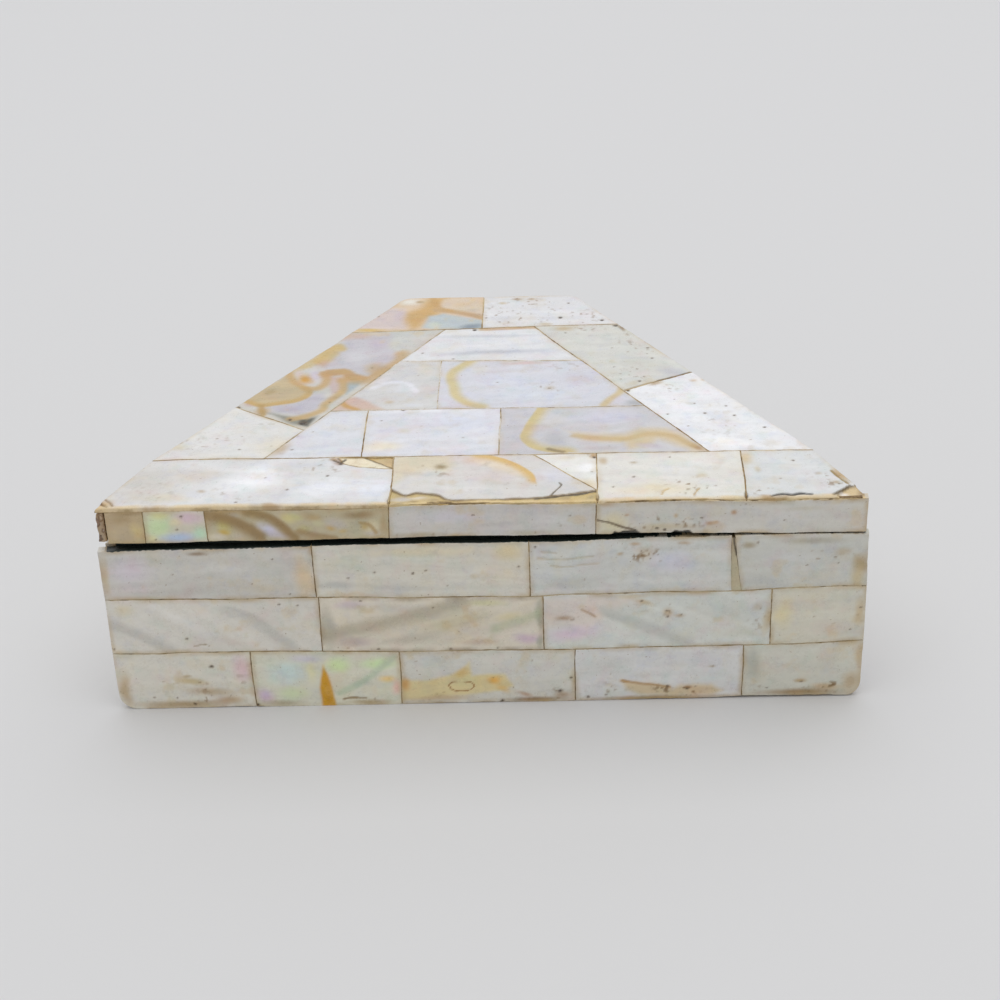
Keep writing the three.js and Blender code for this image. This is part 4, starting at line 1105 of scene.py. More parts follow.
            (21.5, 2.6, 3, 2.2, 0, "ecdfb6", 0.85), (37, 2.1, 1, 0.5, 0, "b98850", 0.8),
            (38, 2.3, 0.6, 0.4, 0, "c89c66", 0.7), (40.8, 4.2, 0.6, 0.6, 0, "b98850", 0.8),
            (23.6, 4, 0.5, 0.3, 0, "b98850", 0.7), (30, 1.5, 6, 0.8, 0, "cfbd94", 0.6),
            (50, 3.4, 6, 1.6, 0, "e0dfdc", 0.6), (31.5, 3.6, 0.4, 0.5, 0, "cba56c", 0.7),
            (52, 4.8, 3, 0.5, 0, "d0cab8", 0.6),
        ],
        "speckled": [(30, 2, 7, 1.5, 0.9), (38, 2.3, 3, 1.2, 0.9), (22, 3, 3, 2, 0.5)],
        "cracks": [([(18.9, 3.1), (21.2, 2.5), (23.4, 1.6), (25, 1)], 0.3, "6b5434", 0.9)],
        "pits": [(49, 2.6, 0.16), (28.4, 1.3, 0.3), (29.6, 1, 0.3), (35.6, 3.2, 0.2), (22.2, 2, 0.2)],
        "chips": [
            ([(21.3, 0.2), (21.7, 0.9), (22.4, 0.7), (23, 0.9), (24.2, 0.9), (25, 1.1), (25.6, 0.6),
              (26, 0.3), (26, -0.5), (21.3, -0.5)], 0.4, "1c1c16", "3a2f20"),
            ([(30.4, 0.3), (31.2, 0.9), (32.4, 0.8), (33.6, 0.9), (34.2, 0.3), (34.2, -0.5), (30.4, -0.5)],
             0.4, "1c1c16", "3a2f20"),
        ],
    },
    "high_front_1": {
        "base": "dad7ce", "streaks": (3, 14, 1, 0.06),
        "clouds": [
            (-58, 28, 4, 3, 0, "e2d9e2", 0.8), (-29.4, 26, 1.8, 5, 0, "ecd0a4", 0.8),
            (-46.5, 31.1, 2, 0.5, 0, "8f7048", 0.8), (-42, 28, 6, 2, -6, "e3e1da", 0.6),
            (-50, 24, 8, 1, 3, "cfccc2", 0.6), (-57, 24.6, 3, 1.4, 0, "dccfd2", 0.6),
            (-36, 24, 6, 1, 0, "d6cdb8", 0.5), (-62, 27, 0.8, 5, 0, "d6bf92", 0.6),
        ],
        "pits": [(-34.2, 29.6, 0.2), (-38, 25, 0.14), (-51, 27, 0.14), (-32, 22.8, 0.2)],
    },
    "high_front_2": {
        "base": "e6e2d4", "streaks": (-2, 16, 0.9, 0.07),
        "clouds": [
            (-10, 30.6, 12, 1.2, 0, "f5e4ba", 0.6), (4.6, 30, 3, 2, 0, "f0dcac", 0.8),
            (-24, 24.2, 3.6, 1.2, -8, "c9cac4", 0.8), (-14, 23.4, 8, 1.2, 0, "d3d3cb", 0.6),
            (3, 26, 4, 2.4, 0, "eddfc4", 0.6), (-22, 28.6, 3, 1.6, 0, "d9dccb", 0.7),
        ],
        "pits": [
            (-17.7, 26.8, 0.24), (-11.5, 26.4, 0.28), (-9.3, 26.9, 0.22), (5.8, 27.3, 0.26),
            (-22, 25.8, 0.2), (-6, 24, 0.14),
        ],
    },
    "high_front_3": {
        "base": "dfe0da", "streaks": (2, 10, 1, 0.06),
        "clouds": [
            (31, 27.5, 5, 2.4, 0, "dfdcea", 0.7), (26.6, 29.4, 2, 1.6, 0, "d6c3a0", 0.5),
            (15, 24, 5, 1.6, 0, "d0d1c9", 0.7), (36, 24, 4, 1.4, 0, "dedcd6", 0.6),
            (25, 31.2, 1.2, 0.4, 0, "bb945c", 0.7), (33, 31.2, 1.4, 0.4, 0, "bb945c", 0.6),
            (22.4, 29.3, 0.6, 0.4, 0, "c4a272", 0.7),
        ],
        "cracks": [
            ([(9, 28.9), (13, 28.6), (18, 29)], 0.35, "d3c4a0", 0.45),
            ([(11, 27.5), (14, 27.2), (19, 27.7)], 0.3, "d3c4a0", 0.45),
            ([(9.6, 30), (12, 29.8)], 0.3, "cdb98e", 0.4),
        ],
        "speckled": [(26, 29, 5, 2, 0.9), (34, 30.5, 3, 1.2, 0.5)],
        "pits": [
            (8.6, 31, 0.25), (16.6, 24.6, 0.16), (27.6, 28.3, 0.16), (26, 29.8, 0.14), (28.8, 29, 0.14),
            (19, 30.4, 0.14),
        ],
    },
    "high_front_4": {
        "base": "d7d7ce",
        "clouds": [
            (61.6, 26.6, 1.4, 2.2, 0, "b89450", 0.75), (61, 24, 1.6, 3, 0, "d2bc86", 0.7),
            (50, 28, 5, 2, 0, "dededc", 0.6), (55, 24, 4, 1.4, 0, "cfcabb", 0.6),
            (54, 31.2, 6, 0.7, 0, "a79f88", 0.6), (43.6, 30.6, 1.4, 0.7, 0, "a08a60", 0.7),
            (58.6, 29, 1.6, 1, 0, "c4ab7c", 0.5), (46, 23.6, 4, 1.2, 0, "c6c7c1", 0.6),
        ],
        "speckled": [(55, 29, 6, 2, 0.7), (60, 26, 3, 4, 0.5)],
        "pits": [(53, 26.5, 0.16), (57.4, 28, 0.22), (58, 26.8, 0.16), (45, 31, 0.2)],
    },
    "middle_front_1": {
        "base": "eae6db", "streaks": (-33, 14, 2.4, 0.07),
        "clouds": [
            (-50, 17.6, 7, 1.2, -33, "efece4", 0.8), (-36, 16, 6, 1.2, -40, "d6d5cb", 0.8),
            (-60, 20, 2, 1.4, 0, "e2d6b6", 0.6), (-33, 20, 3, 1, 0, "e4dfd6", 0.6),
            (-42, 13.4, 5, 1, -10, "e4d9cc", 0.6),
        ],
        "bands": [
            ([(-62, 17), (-58, 15.2), (-53, 12)], 1.6, 1, "cfcdc4", 0.7),
            ([(-43, 20.6), (-39, 18.6), (-35, 15), (-32, 12.6)], 0.8, 1.6, "d2d0c6", 0.6),
        ],
        "pits": [
            (-34, 20.8, 0.24), (-31, 20.5, 0.22), (-50, 14.2, 0.26), (-47, 13, 0.18), (-62.4, 12.4, 0.2),
        ],
        "cracks": [([(-49, 12.7), (-47, 12.9), (-46, 12.5)], 0.22, "a08b62", 0.6)],
    },
    "middle_front_2": {
        "base": "f0e8d7", "streaks": (20, 12, 1.6, 0.08), "deepen": 1.12, "soilTone": "8f7850",
        "clouds": [
            (-26.2, 16, 1.4, 5, 0, "bfbbab", 0.7), (-22, 20.4, 3, 1, 0, "d9c9cf", 0.8),
            (-5, 17, 8, 2.4, 10, "dfd5b4", 0.7), (4, 17.6, 2.6, 1.2, 15, "f0e3b4", 0.7),
            (7, 13.2, 2.6, 1.2, 0, "e0c6d4", 0.8), (9, 18, 0.9, 3.4, 0, "b4baa4", 0.7),
            (9, 12.4, 0.8, 1.6, 0, "a9b09c", 0.6), (-22, 13, 4, 1.2, 0, "d3c0ba", 0.7),
            (-12, 13.4, 6, 1.2, 10, "c6bfae", 0.6), (-14, 19.6, 4, 1, 0, "d9d4cc", 0.7),
            (0, 20.4, 4, 0.8, 0, "dcd9a8", 0.7), (-1, 12.4, 4, 0.8, 0, "cfb9a8", 0.6),
        ],
        "bands": [
            ([(-27, 14.6), (-20, 16), (-13, 18), (-4, 20.6)], 1.6, 2.4, "c6bda6", 0.75),
            ([(1.6, 15.2), (5, 16.6), (9.4, 18.4)], 1, 1.3, "c8ceaa", 0.5),
        ],
        "pits": [
            (-18, 11.5, 0.22), (-6, 11.2, 0.2), (2, 11.2, 0.2), (-23, 11.8, 0.18), (-20.3, 21.1, 0.22),
            (-8.6, 19.6, 0.2),
        ],
    },
    "middle_front_3": {
        "base": "e2e5dd", "streaks": (-25, 12, 1.6, 0.07),
        "areas": [
            ([(9.8, 15), (13, 15.4), (17, 14.4), (20, 17), (24, 20.6), (17, 21.4), (9.8, 20.8)],
             1, "efdccf", 0.6),
        ],
        "clouds": [
            (14.5, 13.8, 5, 1.9, 8, "ecd6e6", 0.85), (13, 17, 1.8, 0.6, 0, "b08a60", 0.75),
            (26.4, 19.8, 2, 0.6, -20, "cfb182", 0.7), (30.6, 17.6, 1.2, 1.2, 0, "cfb080", 0.7),
            (32.4, 17, 1, 0.5, 0, "b8935f", 0.7), (38, 17, 6, 2.6, 0, "e0ded4", 0.7),
            (42, 13.5, 4, 1.4, 0, "d6d2c2", 0.6), (46.4, 16, 0.8, 4, 0, "cfb98c", 0.5),
            (24.4, 21, 3, 0.6, 0, "d9c49c", 0.6), (45, 18.6, 1, 1, 0, "cdb890", 0.5),
        ],
        "bands": [
            ([(20, 18), (24, 16), (29, 13.6), (33, 11.4)], 2, 1.2, "cbccc4", 0.85),
            ([(16, 18.6), (17.4, 17.8), (18.2, 17.2)], 0.3, 0.3, "ab8a5c", 0.7),
        ],
        "speckled": [(14, 17.2, 3, 0.9, 1), (29, 18.6, 5, 1.6, 0.9), (45, 16, 2, 3, 0.4)],
        "pits": [
            (30.2, 18, 0.22), (30.4, 16.9, 0.26), (32.6, 17.2, 0.2), (26, 20, 0.25), (36, 19.4, 0.14),
            (45.6, 18.2, 0.16),
        ],
    },
    "middle_front_4": {
        "base": "e1ddcb", "soilTone": "b89a60",
        "clouds": [
            (49.6, 17, 2, 3.4, 0, "e9dcb0", 0.8), (61.6, 17, 1, 3.6, 0, "cdb384", 0.7),
            (57, 14, 4, 1.8, 0, "dccfc2", 0.7), (55, 19.6, 4, 1.2, 0, "e3dfcf", 0.6),
        ],
        "speckled": [(60, 16, 3, 4, 0.5)],
        "pits": [(60.4, 13.6, 0.22), (54.5, 16.4, 0.14), (62, 18, 0.2)],
    },
    "low_front_1": {
        "base": "ece8da",
        "clouds": [
            (-41.4, 8, 1.9, 3, 0, "efcfd2", 0.9), (-50, 5.6, 3.4, 0.8, -12, "c9b06c", 0.7),
            (-47, 3.4, 5, 1, -6, "c2a878", 0.7), (-57, 7, 4, 2.4, 0, "e4e0d4", 0.6),
            (-52, 1, 9, 0.9, 0, "b3945f", 0.8), (-54, 10, 5, 1.2, 0, "e3dfd4", 0.6),
            (-61.6, 4, 1.2, 4, 0, "c4a774", 0.8), (-44, 1.6, 3, 1, 0, "c09c64", 0.7),
            (-50.8, 6.6, 1, 0.3, 0, "a88a50", 0.7),
        ],
        "speckled": [(-50, 4.5, 6, 2, 0.8), (-46, 2, 8, 1.6, 0.9), (-44, 5, 4, 3, 0.5)],
        "pits": [
            (-46.4, 8.4, 0.4), (-55, 5.6, 0.16), (-57, 2.4, 0.2), (-53, 2.2, 0.2), (-50, 0.9, 0.3),
            (-47, 2.6, 0.16),
        ],
    },
    "low_front_2": {
        "base": "ebe9d5", "foxed": 0.1,
        "areas": [
            ([(-27.4, 8.6), (-27.9, 6.5), (-28.5, 4), (-28.3, 0), (-25.8, 0), (-26.3, 3.5), (-26.8, 6.5)],
             0.3, "e0a408", 1),
        ],
        "clouds": [
            (-34, 7, 4, 2.6, 0, "dcf2ee", 0.9), (-38, 2.4, 1.8, 1.8, 0, "dcc4ec", 0.8),
            (-24.8, 8.6, 2.4, 1.8, 0, "e6ffb4", 0.8), (-18.4, 8.6, 3.4, 1.4, 0, "e2ffbe", 0.85),
            (-17, 5.4, 1.6, 0.8, 0, "ffdc90", 0.9), (-15.7, 3.9, 0.9, 1.8, 0, "ffcdc0", 0.85),
            (-33, 3, 3, 1.6, 0, "dff0bc", 0.7), (-22, 4.6, 2, 1.4, 0, "ece6d4", 0.6),
            (-29.6, 7.4, 1.2, 2.4, 0, "f4eeb8", 0.7), (-20, 0.8, 4, 0.6, 0, "b59a66", 0.7),
            (-30.5, 9.8, 3, 1, 0, "e2dcf0", 0.6), (-35, 0.9, 4, 0.7, 0, "a9966c", 0.6),
            (-24, 2.4, 1.6, 2, 0, "efe9c8", 0.5),
        ],
        "bands": [([(-25, 2.6), (-21.6, 4.4), (-18.6, 7), (-15.6, 9.8)], 1, 0.8, "cbd9bc", 0.8)],
        "late": [(-27.1, 1.8, 0.7, 1.8, 0, "cf9208", 0.6)],
        "cracks": [([(-24.4, 1.3), (-22.5, 1.6), (-20.6, 1.5)], 0.35, "9a7a4a", 0.85)],
        "pits": [(-39.4, 0.4, 0.4), (-19.2, 1.3, 0.18)],
    },
    "low_front_3": {
        "base": "e3e1d6",
        "areas": [
            ([(-14.6, 5.2), (-10, 4.8), (-7, 5.6), (-4.6, 6.8), (-3, 8.4), (-2.6, 5.6), (0, 5.9), (3, 5.8),
              (4.4, 3.4), (2, 2.4), (-2, 1.8), (-14.6, 1)], 0.5, "efdca0", 0.9),
        ],
        "clouds": [
            (-13.9, 4.4, 0.9, 1.7, 0, "dda252", 0.9), (-4.4, 6.2, 1.6, 1, 30, "e8c47c", 0.9),
            (1.2, 4.6, 1.5, 1, 0, "f5bb54", 0.95), (2.6, 3, 1.4, 0.9, -30, "f0c87c", 0.8),
            (8, 0.6, 6, 0.6, 0, "8f6c40", 0.9), (6.4, 1.7, 1.6, 0.5, -20, "b98c62", 0.7),
            (8, 7, 5, 2.4, 0, "e2e2dd", 0.6), (-9, 8.8, 4.5, 1.4, 0, "d6dcd8", 0.7),
            (12.8, 1.4, 1.8, 0.9, 0, "b08a5c", 0.7), (-8, 1.2, 6, 0.6, 0, "d3b27c", 0.7),
            (-5, 3.4, 2, 1, 0, "f6e3a8", 0.6),
        ],
        "cracks": [
            ([(-6.7, 3.6), (-6, 4.3), (-4.4, 4.4), (-2.8, 4.2), (-2.3, 3.5), (-3, 2.8), (-4.6, 2.5),
              (-6.1, 2.8), (-6.7, 3.6)], 0.2, "a8712e", 0.95),
        ],
        "speckled": [(11, 1.6, 5, 1.5, 1), (-9, 3, 5, 2.5, 0.4), (2, 4, 3, 2, 0.5)],
        "pits": [(12.3, 2.2, 0.5), (-12, 8.8, 0.14), (7.6, 8.6, 0.18), (14.2, 5, 0.3), (2.4, 0.3, 0.4)],
    },
    "low_front_4": {
        "base": "eaeae7",
        "areas": [
            ([(22.4, 4.3), (26, 3.6), (30.4, 2.8), (31.2, 2.2), (32.4, 2.9), (37.6, 2.9), (39.6, 1.6),
              (38, 0.7), (31, 0.6), (25.6, 1), (23.4, 2.2)], 0.7, "e4cda2", 0.9),
        ],
        "clouds": [
            (20, 7, 4, 2.4, 0, "e1e1da", 0.6), (36, 8, 4, 2, 0, "e3e1e3", 0.7),
            (28, 0.3, 14, 0.6, 0, "a5834c", 0.85), (23, 4, 1, 0.4, -10, "c08f50", 0.8),
            (33.6, 2.4, 0.8, 0.4, 0, "b08048", 0.8), (37.6, 6.6, 0.8, 0.3, 0, "b8a888", 0.7),
        ],
        "bands": [([(22.6, 4.2), (26, 3.4), (30.6, 2.5)], 0.3, 0.4, "b88c50", 0.8)],
        "speckled": [(31, 1.8, 9, 1.2, 1), (20, 2, 4, 2, 0.5)],
        "pits": [
            (30.2, 2.6, 0.28), (33.5, 2.1, 0.26), (35, 2.6, 0.16), (20.6, 5.6, 0.16), (20, 1.2, 0.25),
            (17, 0.8, 0.3), (37.8, 6.7, 0.16),
        ],
    },
    "low_front_5": {
        "base": "deddcf",
        "clouds": [
            (44.5, 7, 1.8, 4, 0, "b9baac", 0.8), (53, 0.9, 8, 0.9, 0, "a17c44", 0.85),
            (61, 3, 1.8, 2.4, 0, "c4a674", 0.7), (50, 7, 4, 2, 0, "dfdccf", 0.6),
            (57, 8, 4, 1.6, 0, "dad4c2", 0.6), (52.6, 3.4, 1.2, 0.5, 0, "b9985c", 0.8),
            (57, 2, 3, 0.9, 0, "cfa468", 0.7), (62.2, 8, 0.7, 3, 0, "cbb182", 0.6),
        ],
        "speckled": [(57, 2, 6, 1.6, 1), (48, 2, 4, 1.6, 0.6)],
        "pits": [(47, 2, 0.18), (52.8, 3.2, 0.2), (56.5, 1.8, 0.2)],
    },
}
# The lid's front edge is rubbed down over these depths, and its open layers are stained
wornEdge = {"radius": 0.75, "near": 0.8, "far": 2.5, "stain": 1.1, "share": 0.8, "tone": "e9cf9a",
            "patches": "b48c40"}


# Where the lid's seams run, each from one point to another
topCuts = {
    "front": ((-70, boxSize["bendDepth"]), (70, boxSize["bendDepth"])),
    "back": ((-26, 61.5), (24, 63.2)),
    "left": ((-36.5, 15), (-8.4, 61.3)),
    "right": ((8.9, 61.9), (37.8, 15.3)),
    "leftJoint": ((-42.9, 33.1), (-30.8, 24.8)),
    "rightJoint": ((24.8, 37.1), (36.1, 43.4)),
    "shard": ((8.3, 15.5), (18.9, 3.4)),
    "frontJoints": (-14.6, 19, 42.9),
    "backJoints": (-1,),
    "rows": ((31.4, 0, (-20, 2.85)), (49.2, 1.4, (-8.1,))),  # depth, lean, joints of the row before it
}


def topLayout():
    # the lid's plan cut by straight seams into strips along the front, the back and both sides,
    # and rows of plaques in the field between them
    plaques, seams = {}, []

    def cut(points, start, end):
        # both parts of an outline, with the seam noted
        seams.append(chord(points, start, end))
        return split(points, start, end)

    def cutAlong(points, joints):
        # a strip cut straight back at each joint
        parts = []
        for x in joints:
            left, points = cut(points, (x, 0), (x, 80))
            parts.append(left)
        return [*parts, points]

    behindFront, frontStrip = cut(lidPath["path"], *topCuts["front"])
    backStrip, middle = cut(behindFront, *topCuts["back"])
    leftStrip, rest = cut(middle, *topCuts["left"])
    rightStrip, field = cut(rest, *topCuts["right"])
    plaques["top_left_2"], plaques["top_left_1"] = cut(leftStrip, *topCuts["leftJoint"])
    plaques["top_right_2"], plaques["top_right_1"] = cut(rightStrip, *topCuts["rightJoint"])
    frontParts = cutAlong(frontStrip, topCuts["frontJoints"])
    plaques["top_front_shard"], frontParts[1] = cut(frontParts[1], *topCuts["shard"])
    rowParts = []
    backParts = cutAlong(backStrip, topCuts["backJoints"])
    for depth, lean, joints in topCuts["rows"]:
        field, row = cut(field, (-40, depth + lean), (40, depth - lean))
        rowParts += cutAlong(row, joints)
    for word, parts in (("front", frontParts), ("back", backParts), ("field", [*rowParts, field])):
        for k, points in enumerate(parts):
            plaques[f"top_{word}_{k + 1}"] = points
    return plaques, seams


topOutlines, topSeams = topLayout()
topLook = {"limits": ((-lid["halfFront"], lid["halfFront"]), (0.08, boxSize["depth"] - 0.02)),
           "step": 0.25, "round": 0.12, "soiled": 0.28}
for number, (name, outline) in enumerate(topOutlines.items()):
    look = {**topLook, **plaqueLook[name], "worn": wornEdge if name.startswith("top_front") else None}
    part = plaqueShell(lidTopFace, outline, boxSize["topShell"], look, 1000 + 31 * number)
    addPlaques("shell_" + name, [part], name)
print("lid top laid:", len(topOutlines), "plaques")

# Heights of the seams from left to right; the courses sag a little in the middle
seamHeights = {
    "foot": [(-63, 0.1), (-40, 0.02), (30, 0.02), (39, 0.15), (44, 0.4), (50, 0.3), (63, 0.2)],
    "lowSeam": [(-60, 11.46), (-45, 11.4), (-35, 11.48), (-28, 11.33), (-15, 10.85), (15, 10.74),
                (42, 10.85), (50, 10.89), (60, 11.3)],
    "middleSeam": [(-60, 22.26), (-45, 22.16), (-30, 22), (-10, 21.7), (7, 21.5), (20, 21.75), (40, 21.8),
                   (47, 21.9), (60, 22.3)],
    "bodyTop": [(-62, 31.95), (-50, 32.12), (-35, 32.02), (-28, 32.2), (-15, 32.25), (0, 32.05),
                (10, 32.05), (20, 32.25), (40, 32.38), (62, 32.38)],
    "rimFoot": [(-61, 0), (-50, 0), (-30, 0.22), (-20, 0.32), (-10, 0.38), (10, 0.42), (30, 0.38),
                (40, 0.2), (50, 0.05), (57, 0.02), (61.5, 0.2)],
    "glueLine": [(-63, 6), (-15, 6.02), (-14.4, 6.42), (63, 6.48)],
    "rimTop": [(-63, 5.88), (-15, 5.9), (-14.6, 6.3), (63, 6.38)],
}

# Each course lies between two seams, with joints along the front, at depths down both sides and along
# the back; on the sides and back it stands between the two heights of its wall
courses = {
    "low": {"low": "foot", "high": "lowSeam", "front": [-39.6, -14.65, 14.9, 42.9], "side": [24, 52],
            "back": [], "wall": (0.2, 11.32)},
    "middle": {"low": "lowSeam", "high": "middleSeam", "front": [-27.4, 9.7, 47.4], "side": [36, 66],
               "back": [2], "wall": (11.48, 22.12)},
    "high": {"low": "middleSeam", "high": "bodyTop", "front": [-27.7, 7.6, (42.3, 41.2)], "side": [22, 50],
             "back": [], "wall": (22.28, 32.3)},
    "rim": {"low": "rimFoot", "high": "rimTop", "front": [-54.7, -44.5, -14.8, 18.7], "side": [30, 60],
            "back": [-3], "wall": (0.15, 5.7)},
}

# What the front plaques share; the lowest one at each end is rounded at its outer foot
frontLook = {"step": 0.25, "soilTone": "bfa26c", "soil": 0.75, "foxTone": "dcc596", "foxed": 0.4,
             "round": 0.14, "soiled": 0.3, "deepen": 0.97}
footCorner = {"wide": 3.3, "inset": 3.35}


def seamHeight(name, x):
    # the height of a seam at x, straight between the heights of its table
    table = np.array(seamHeights[name])
    return np.interp(x, table[:, 0], table[:, 1])


def courseOutline(course, leftEnds, rightEnds):
    # one plaque of a front course: its foot and head follow the seams, and its ends may lean
    half = boxSize["seam"] / 2
    openFoot = 0 if course["low"] in ("foot", "rimFoot") else half
    openHead = 0 if course["high"] in ("bodyTop", "rimTop") else half
    cornerStart = boxSize["halfFront"] - footCorner["inset"]
    corner = cornerStart + footCorner["wide"] * np.sin(np.linspace(0, math.pi / 2, 12))
    low = np.concatenate([np.linspace(leftEnds[0], rightEnds[0], 9), corner, -corner])
    low = np.unique(low[(low >= leftEnds[0]) & (low <= rightEnds[0])])
    high = np.linspace(rightEnds[1], leftEnds[1], 9)
    foot = np.stack([low, seamHeight(course["low"], low) + openFoot], axis=-1)
    head = np.stack([high, seamHeight(course["high"], high) - openHead], axis=-1)
    if course["low"] == "foot":
        # a quarter of an ellipse
        share = ((np.abs(low) - cornerStart).clip(0) / footCorner["wide"]).clip(0, 1)
        foot[:, 1] = np.maximum(foot[:, 1], boxSize["footRound"] * (1 - np.sqrt(1 - share ** 2)))
    return np.vstack([foot, head])


def paintedEdge(a):
    # lower limit of the dark paint on the upper course: ragged at the left, clean and thinner to the right,
    # and above the plaque at both ends
    ragged = (0.34 - 0.28 * smoothStep(-32, -26, a)) * np.abs(layeredNoise(a, 0 * a, 0.9, 12, 4))
    ends = 0.6 * smoothStep(-61, -62, a) + 0.6 * smoothStep(61.2, 62.2, a)
    return seamHeight("bodyTop", a) - 0.05 + 0.09 * smoothStep(12, 32, a) + ends - ragged


def paintedFoot(a):
    # upper limit of the paint on the lid's rim, a thread above its foot
    return seamHeight("rimFoot", a) + 0.05


def frontPlaques(key):
    # the plaques of one front course, each between two joints
    course = courses[key]
    onLid = key == "rim"
    half = boxSize["seam"] / 2
    width = lid["halfFront"] if onLid else boxSize["halfFront"] - 0.05
    ends = [-60.9 if onLid else -width, *course["front"], width]
    ends = [end if isinstance(end, tuple) else (end, end) for end in ends]
    for k, (left, right) in enumerate(zip(ends[:-1], ends[1:])):
        name = f"{key}_front_{k + 1}"
        if name == "high_front_3":
            right = (40.8, 40.8)  # the wedge of filler stands beside it
        insetLeft = half if k or onLid else 0
        insetRight = half if k + 2 < len(ends) else 0
        outline = courseOutline(course, [x + insetLeft for x in left], [x - insetRight for x in right])
        look = {**frontLook, "limits": ((-width, width), (0.005, 99)),
                "streaks": (4 * math.sin(k * 5 + len(key)), 14, 1, 0.05), **plaqueLook[name]}
        if key == "high":
            look["paint"] = (paintedEdge, 0.06, True)
        if onLid:
            look["paint"] = (paintedFoot, 0.12, False)
        shell, fields = plaqueShell(lidFrontFace if onLid else bodyFrontFace, outline, boxSize["sideShell"],
                                    look, 3000 + 97 * k + 1000 * list(courses).index(key))
        fields["grime"][np.abs(shell["points"][:, 0]) > 61.8 * mm] *= 0.35  # hands keep the corners clean
        addPlaques("shell_" + name, [(shell, fields)], name)


for key in courses:
    frontPlaques(key)
print("front courses laid")

# Tones of the sides and back, like those of the front
wallTones = ["dcd8cc", "d8d6d2", "e0dccf", "d5d2c6", "dad9d4", "cfcabd"]
wallClouds = ["cfc1a6", "d4cfe0", "e6e6e2", "c2c6c0", "dcc9c4", "e4d9b8"]


def wallLook(seed, lowA, highA, lowB, highB):
    # a plaque of the sides or back: five soft clouds and three pits at random places between its limits
    draw = np.random.default_rng(seed)
    clouds, pits = [], []
    for _ in range(5):
        clouds.append((draw.uniform(lowA, highA), draw.uniform(lowB, highB), draw.uniform(3, 9),
                       draw.uniform(1.5, 4), draw.uniform(-40, 40), wallClouds[draw.integers(6)],
                       draw.uniform(0.3, 0.7)))
    for _ in range(3):
        pits.append((draw.uniform(lowA, highA), draw.uniform(lowB, highB), draw.uniform(0.15, 0.35)))
    return {"base": wallTones[draw.integers(6)], "clouds": clouds, "pits": pits, "step": 0.45}


# The left rim plaque comes through to the front, where its end is broken and darker brown, with dark-rimmed
# chips
stump = np.array([(-62.35, 0.35), (-61, 0.3), (-60.98, 5.85), (-61.7, 5.8), (-62.3, 5.2)])
brokenEnd = {
    "base": "b8a284", "step": 0.1, "ragged": 0.2, "round": 0.4, "foxed": 0.8, "foxTone": "b08d5c",
    "soil": 0.5, "soilTone": "94713f", "limits": ((-62.4, -60.98), (0.2, 5.87)),
    "chips": [
        ([(-62.5, 4.9), (-61.9, 4.6), (-61.7, 3.7), (-62.1, 3.2), (-62.5, 3.1)], 0.45, "a98a70", "5e3f20"),
        ([(-62.5, 1.9), (-61.8, 1.7), (-61.6, 0.9), (-62.5, 0.2)], 0.4, "86684a", "54381c"),
        ([(-61.5, 3.1), (-61.1, 2.6), (-61.3, 2), (-61.6, 2.4)], 0.3, "ddcdb8", "6e4c28"),
        ([(-61.9, 5.6), (-61.2, 5.3), (-61.1, 4.4), (-61.6, 4.2)], 0.3, "cdb594", "7a5628"),
    ],
}


def wallPlaques(key):
    # one course of the sides and back, three pieces; gives back the filler of its seams
    course = courses[key]
    onLid = key == "rim"
    path = lidPath if onLid else bodyPath
    half = boxSize["seam"] / 2
    low, high = course["wall"]
    mitre = {"slope": 0.52, "full": 2, "none": 8}  # how the front ends are cut along the front face

    def face(a, b, out):
        # the wall's face, its ends drawn in by the slope times the depth, and the lowest edge rubbed round
        deeper = mitre["slope"] * (boxSize["sideShell"] - out)
        for way, fromEnd in ((1, a), (-1, path["length"] - a)):
            share = np.clip((mitre["none"] - fromEnd) / (mitre["none"] - mitre["full"]), 0, 1)
            a = a + way * deeper * share
        if key == "low":
            radius = boxSize["footRound"]
            under = np.clip(radius - b, 0, radius)
            out = np.maximum(out - (radius - np.sqrt(radius ** 2 - under ** 2)) * (out > 0.01), 0)
        return (lidWallFace if onLid else bodyWallFace)(a, b, out)

    sideStart, backCorner = boxSize["sideStart"], boxSize["backCorner"]
    right = [alongAtDepth(path, y, False) for y in (sideStart, *course["side"], backCorner)]
    leftDepths = (backCorner, *course["side"][::-1], boxSize["rimStart"] if onLid else sideStart)
    left = [alongAtDepth(path, y, True) for y in leftDepths]
    bendX, bendY = boxSize["backBend"]
    back = [right[-1], *[alongAtDepth(path, bendY, False) + bendX - x for x in course["back"]], left[0]]
    seams = []
    for order, (word, ends) in enumerate((("right", right), ("back", back), ("left", left))):
        parts = []
        for k, (start, end) in enumerate(zip(ends[:-1], ends[1:])):
            start, stop = start + half, end - half
            seed = 7000 + 100 * order + 13 * k + 500 * list(courses).index(key)
            look = {**wallLook(seed, start, stop, low, high), "limits": ((0, path["length"]), (0.02, 99))}
            outline = np.array([(start, low), (stop, low), (stop, high), (start, high)])
            parts.append(plaqueShell(face, outline, boxSize["sideShell"], look, seed))
            seams.append([(end, low), (end, high)])
        if onLid and word == "left":
            parts.append(plaqueShell(lidFrontFace, stump, boxSize["sideShell"] - 0.05, brokenEnd, 8888))
        addPlaques(f"shell_{key}_{word}", parts, f"{key}_{word}")
    ribs = [seamRib(face, line, "wallJoint", 40 + k) for k, line in enumerate(seams[:-1])]
    if key != "high":
        seam = high + boxSize["wallSeam"] / 2
        ribs.append(seamRib(face, [(right[0], seam), (left[-1], seam)], "wallRow", 60))
    return ribs


wallRibs = [rib for key in courses for rib in wallPlaques(key)]
print("sides and back laid")


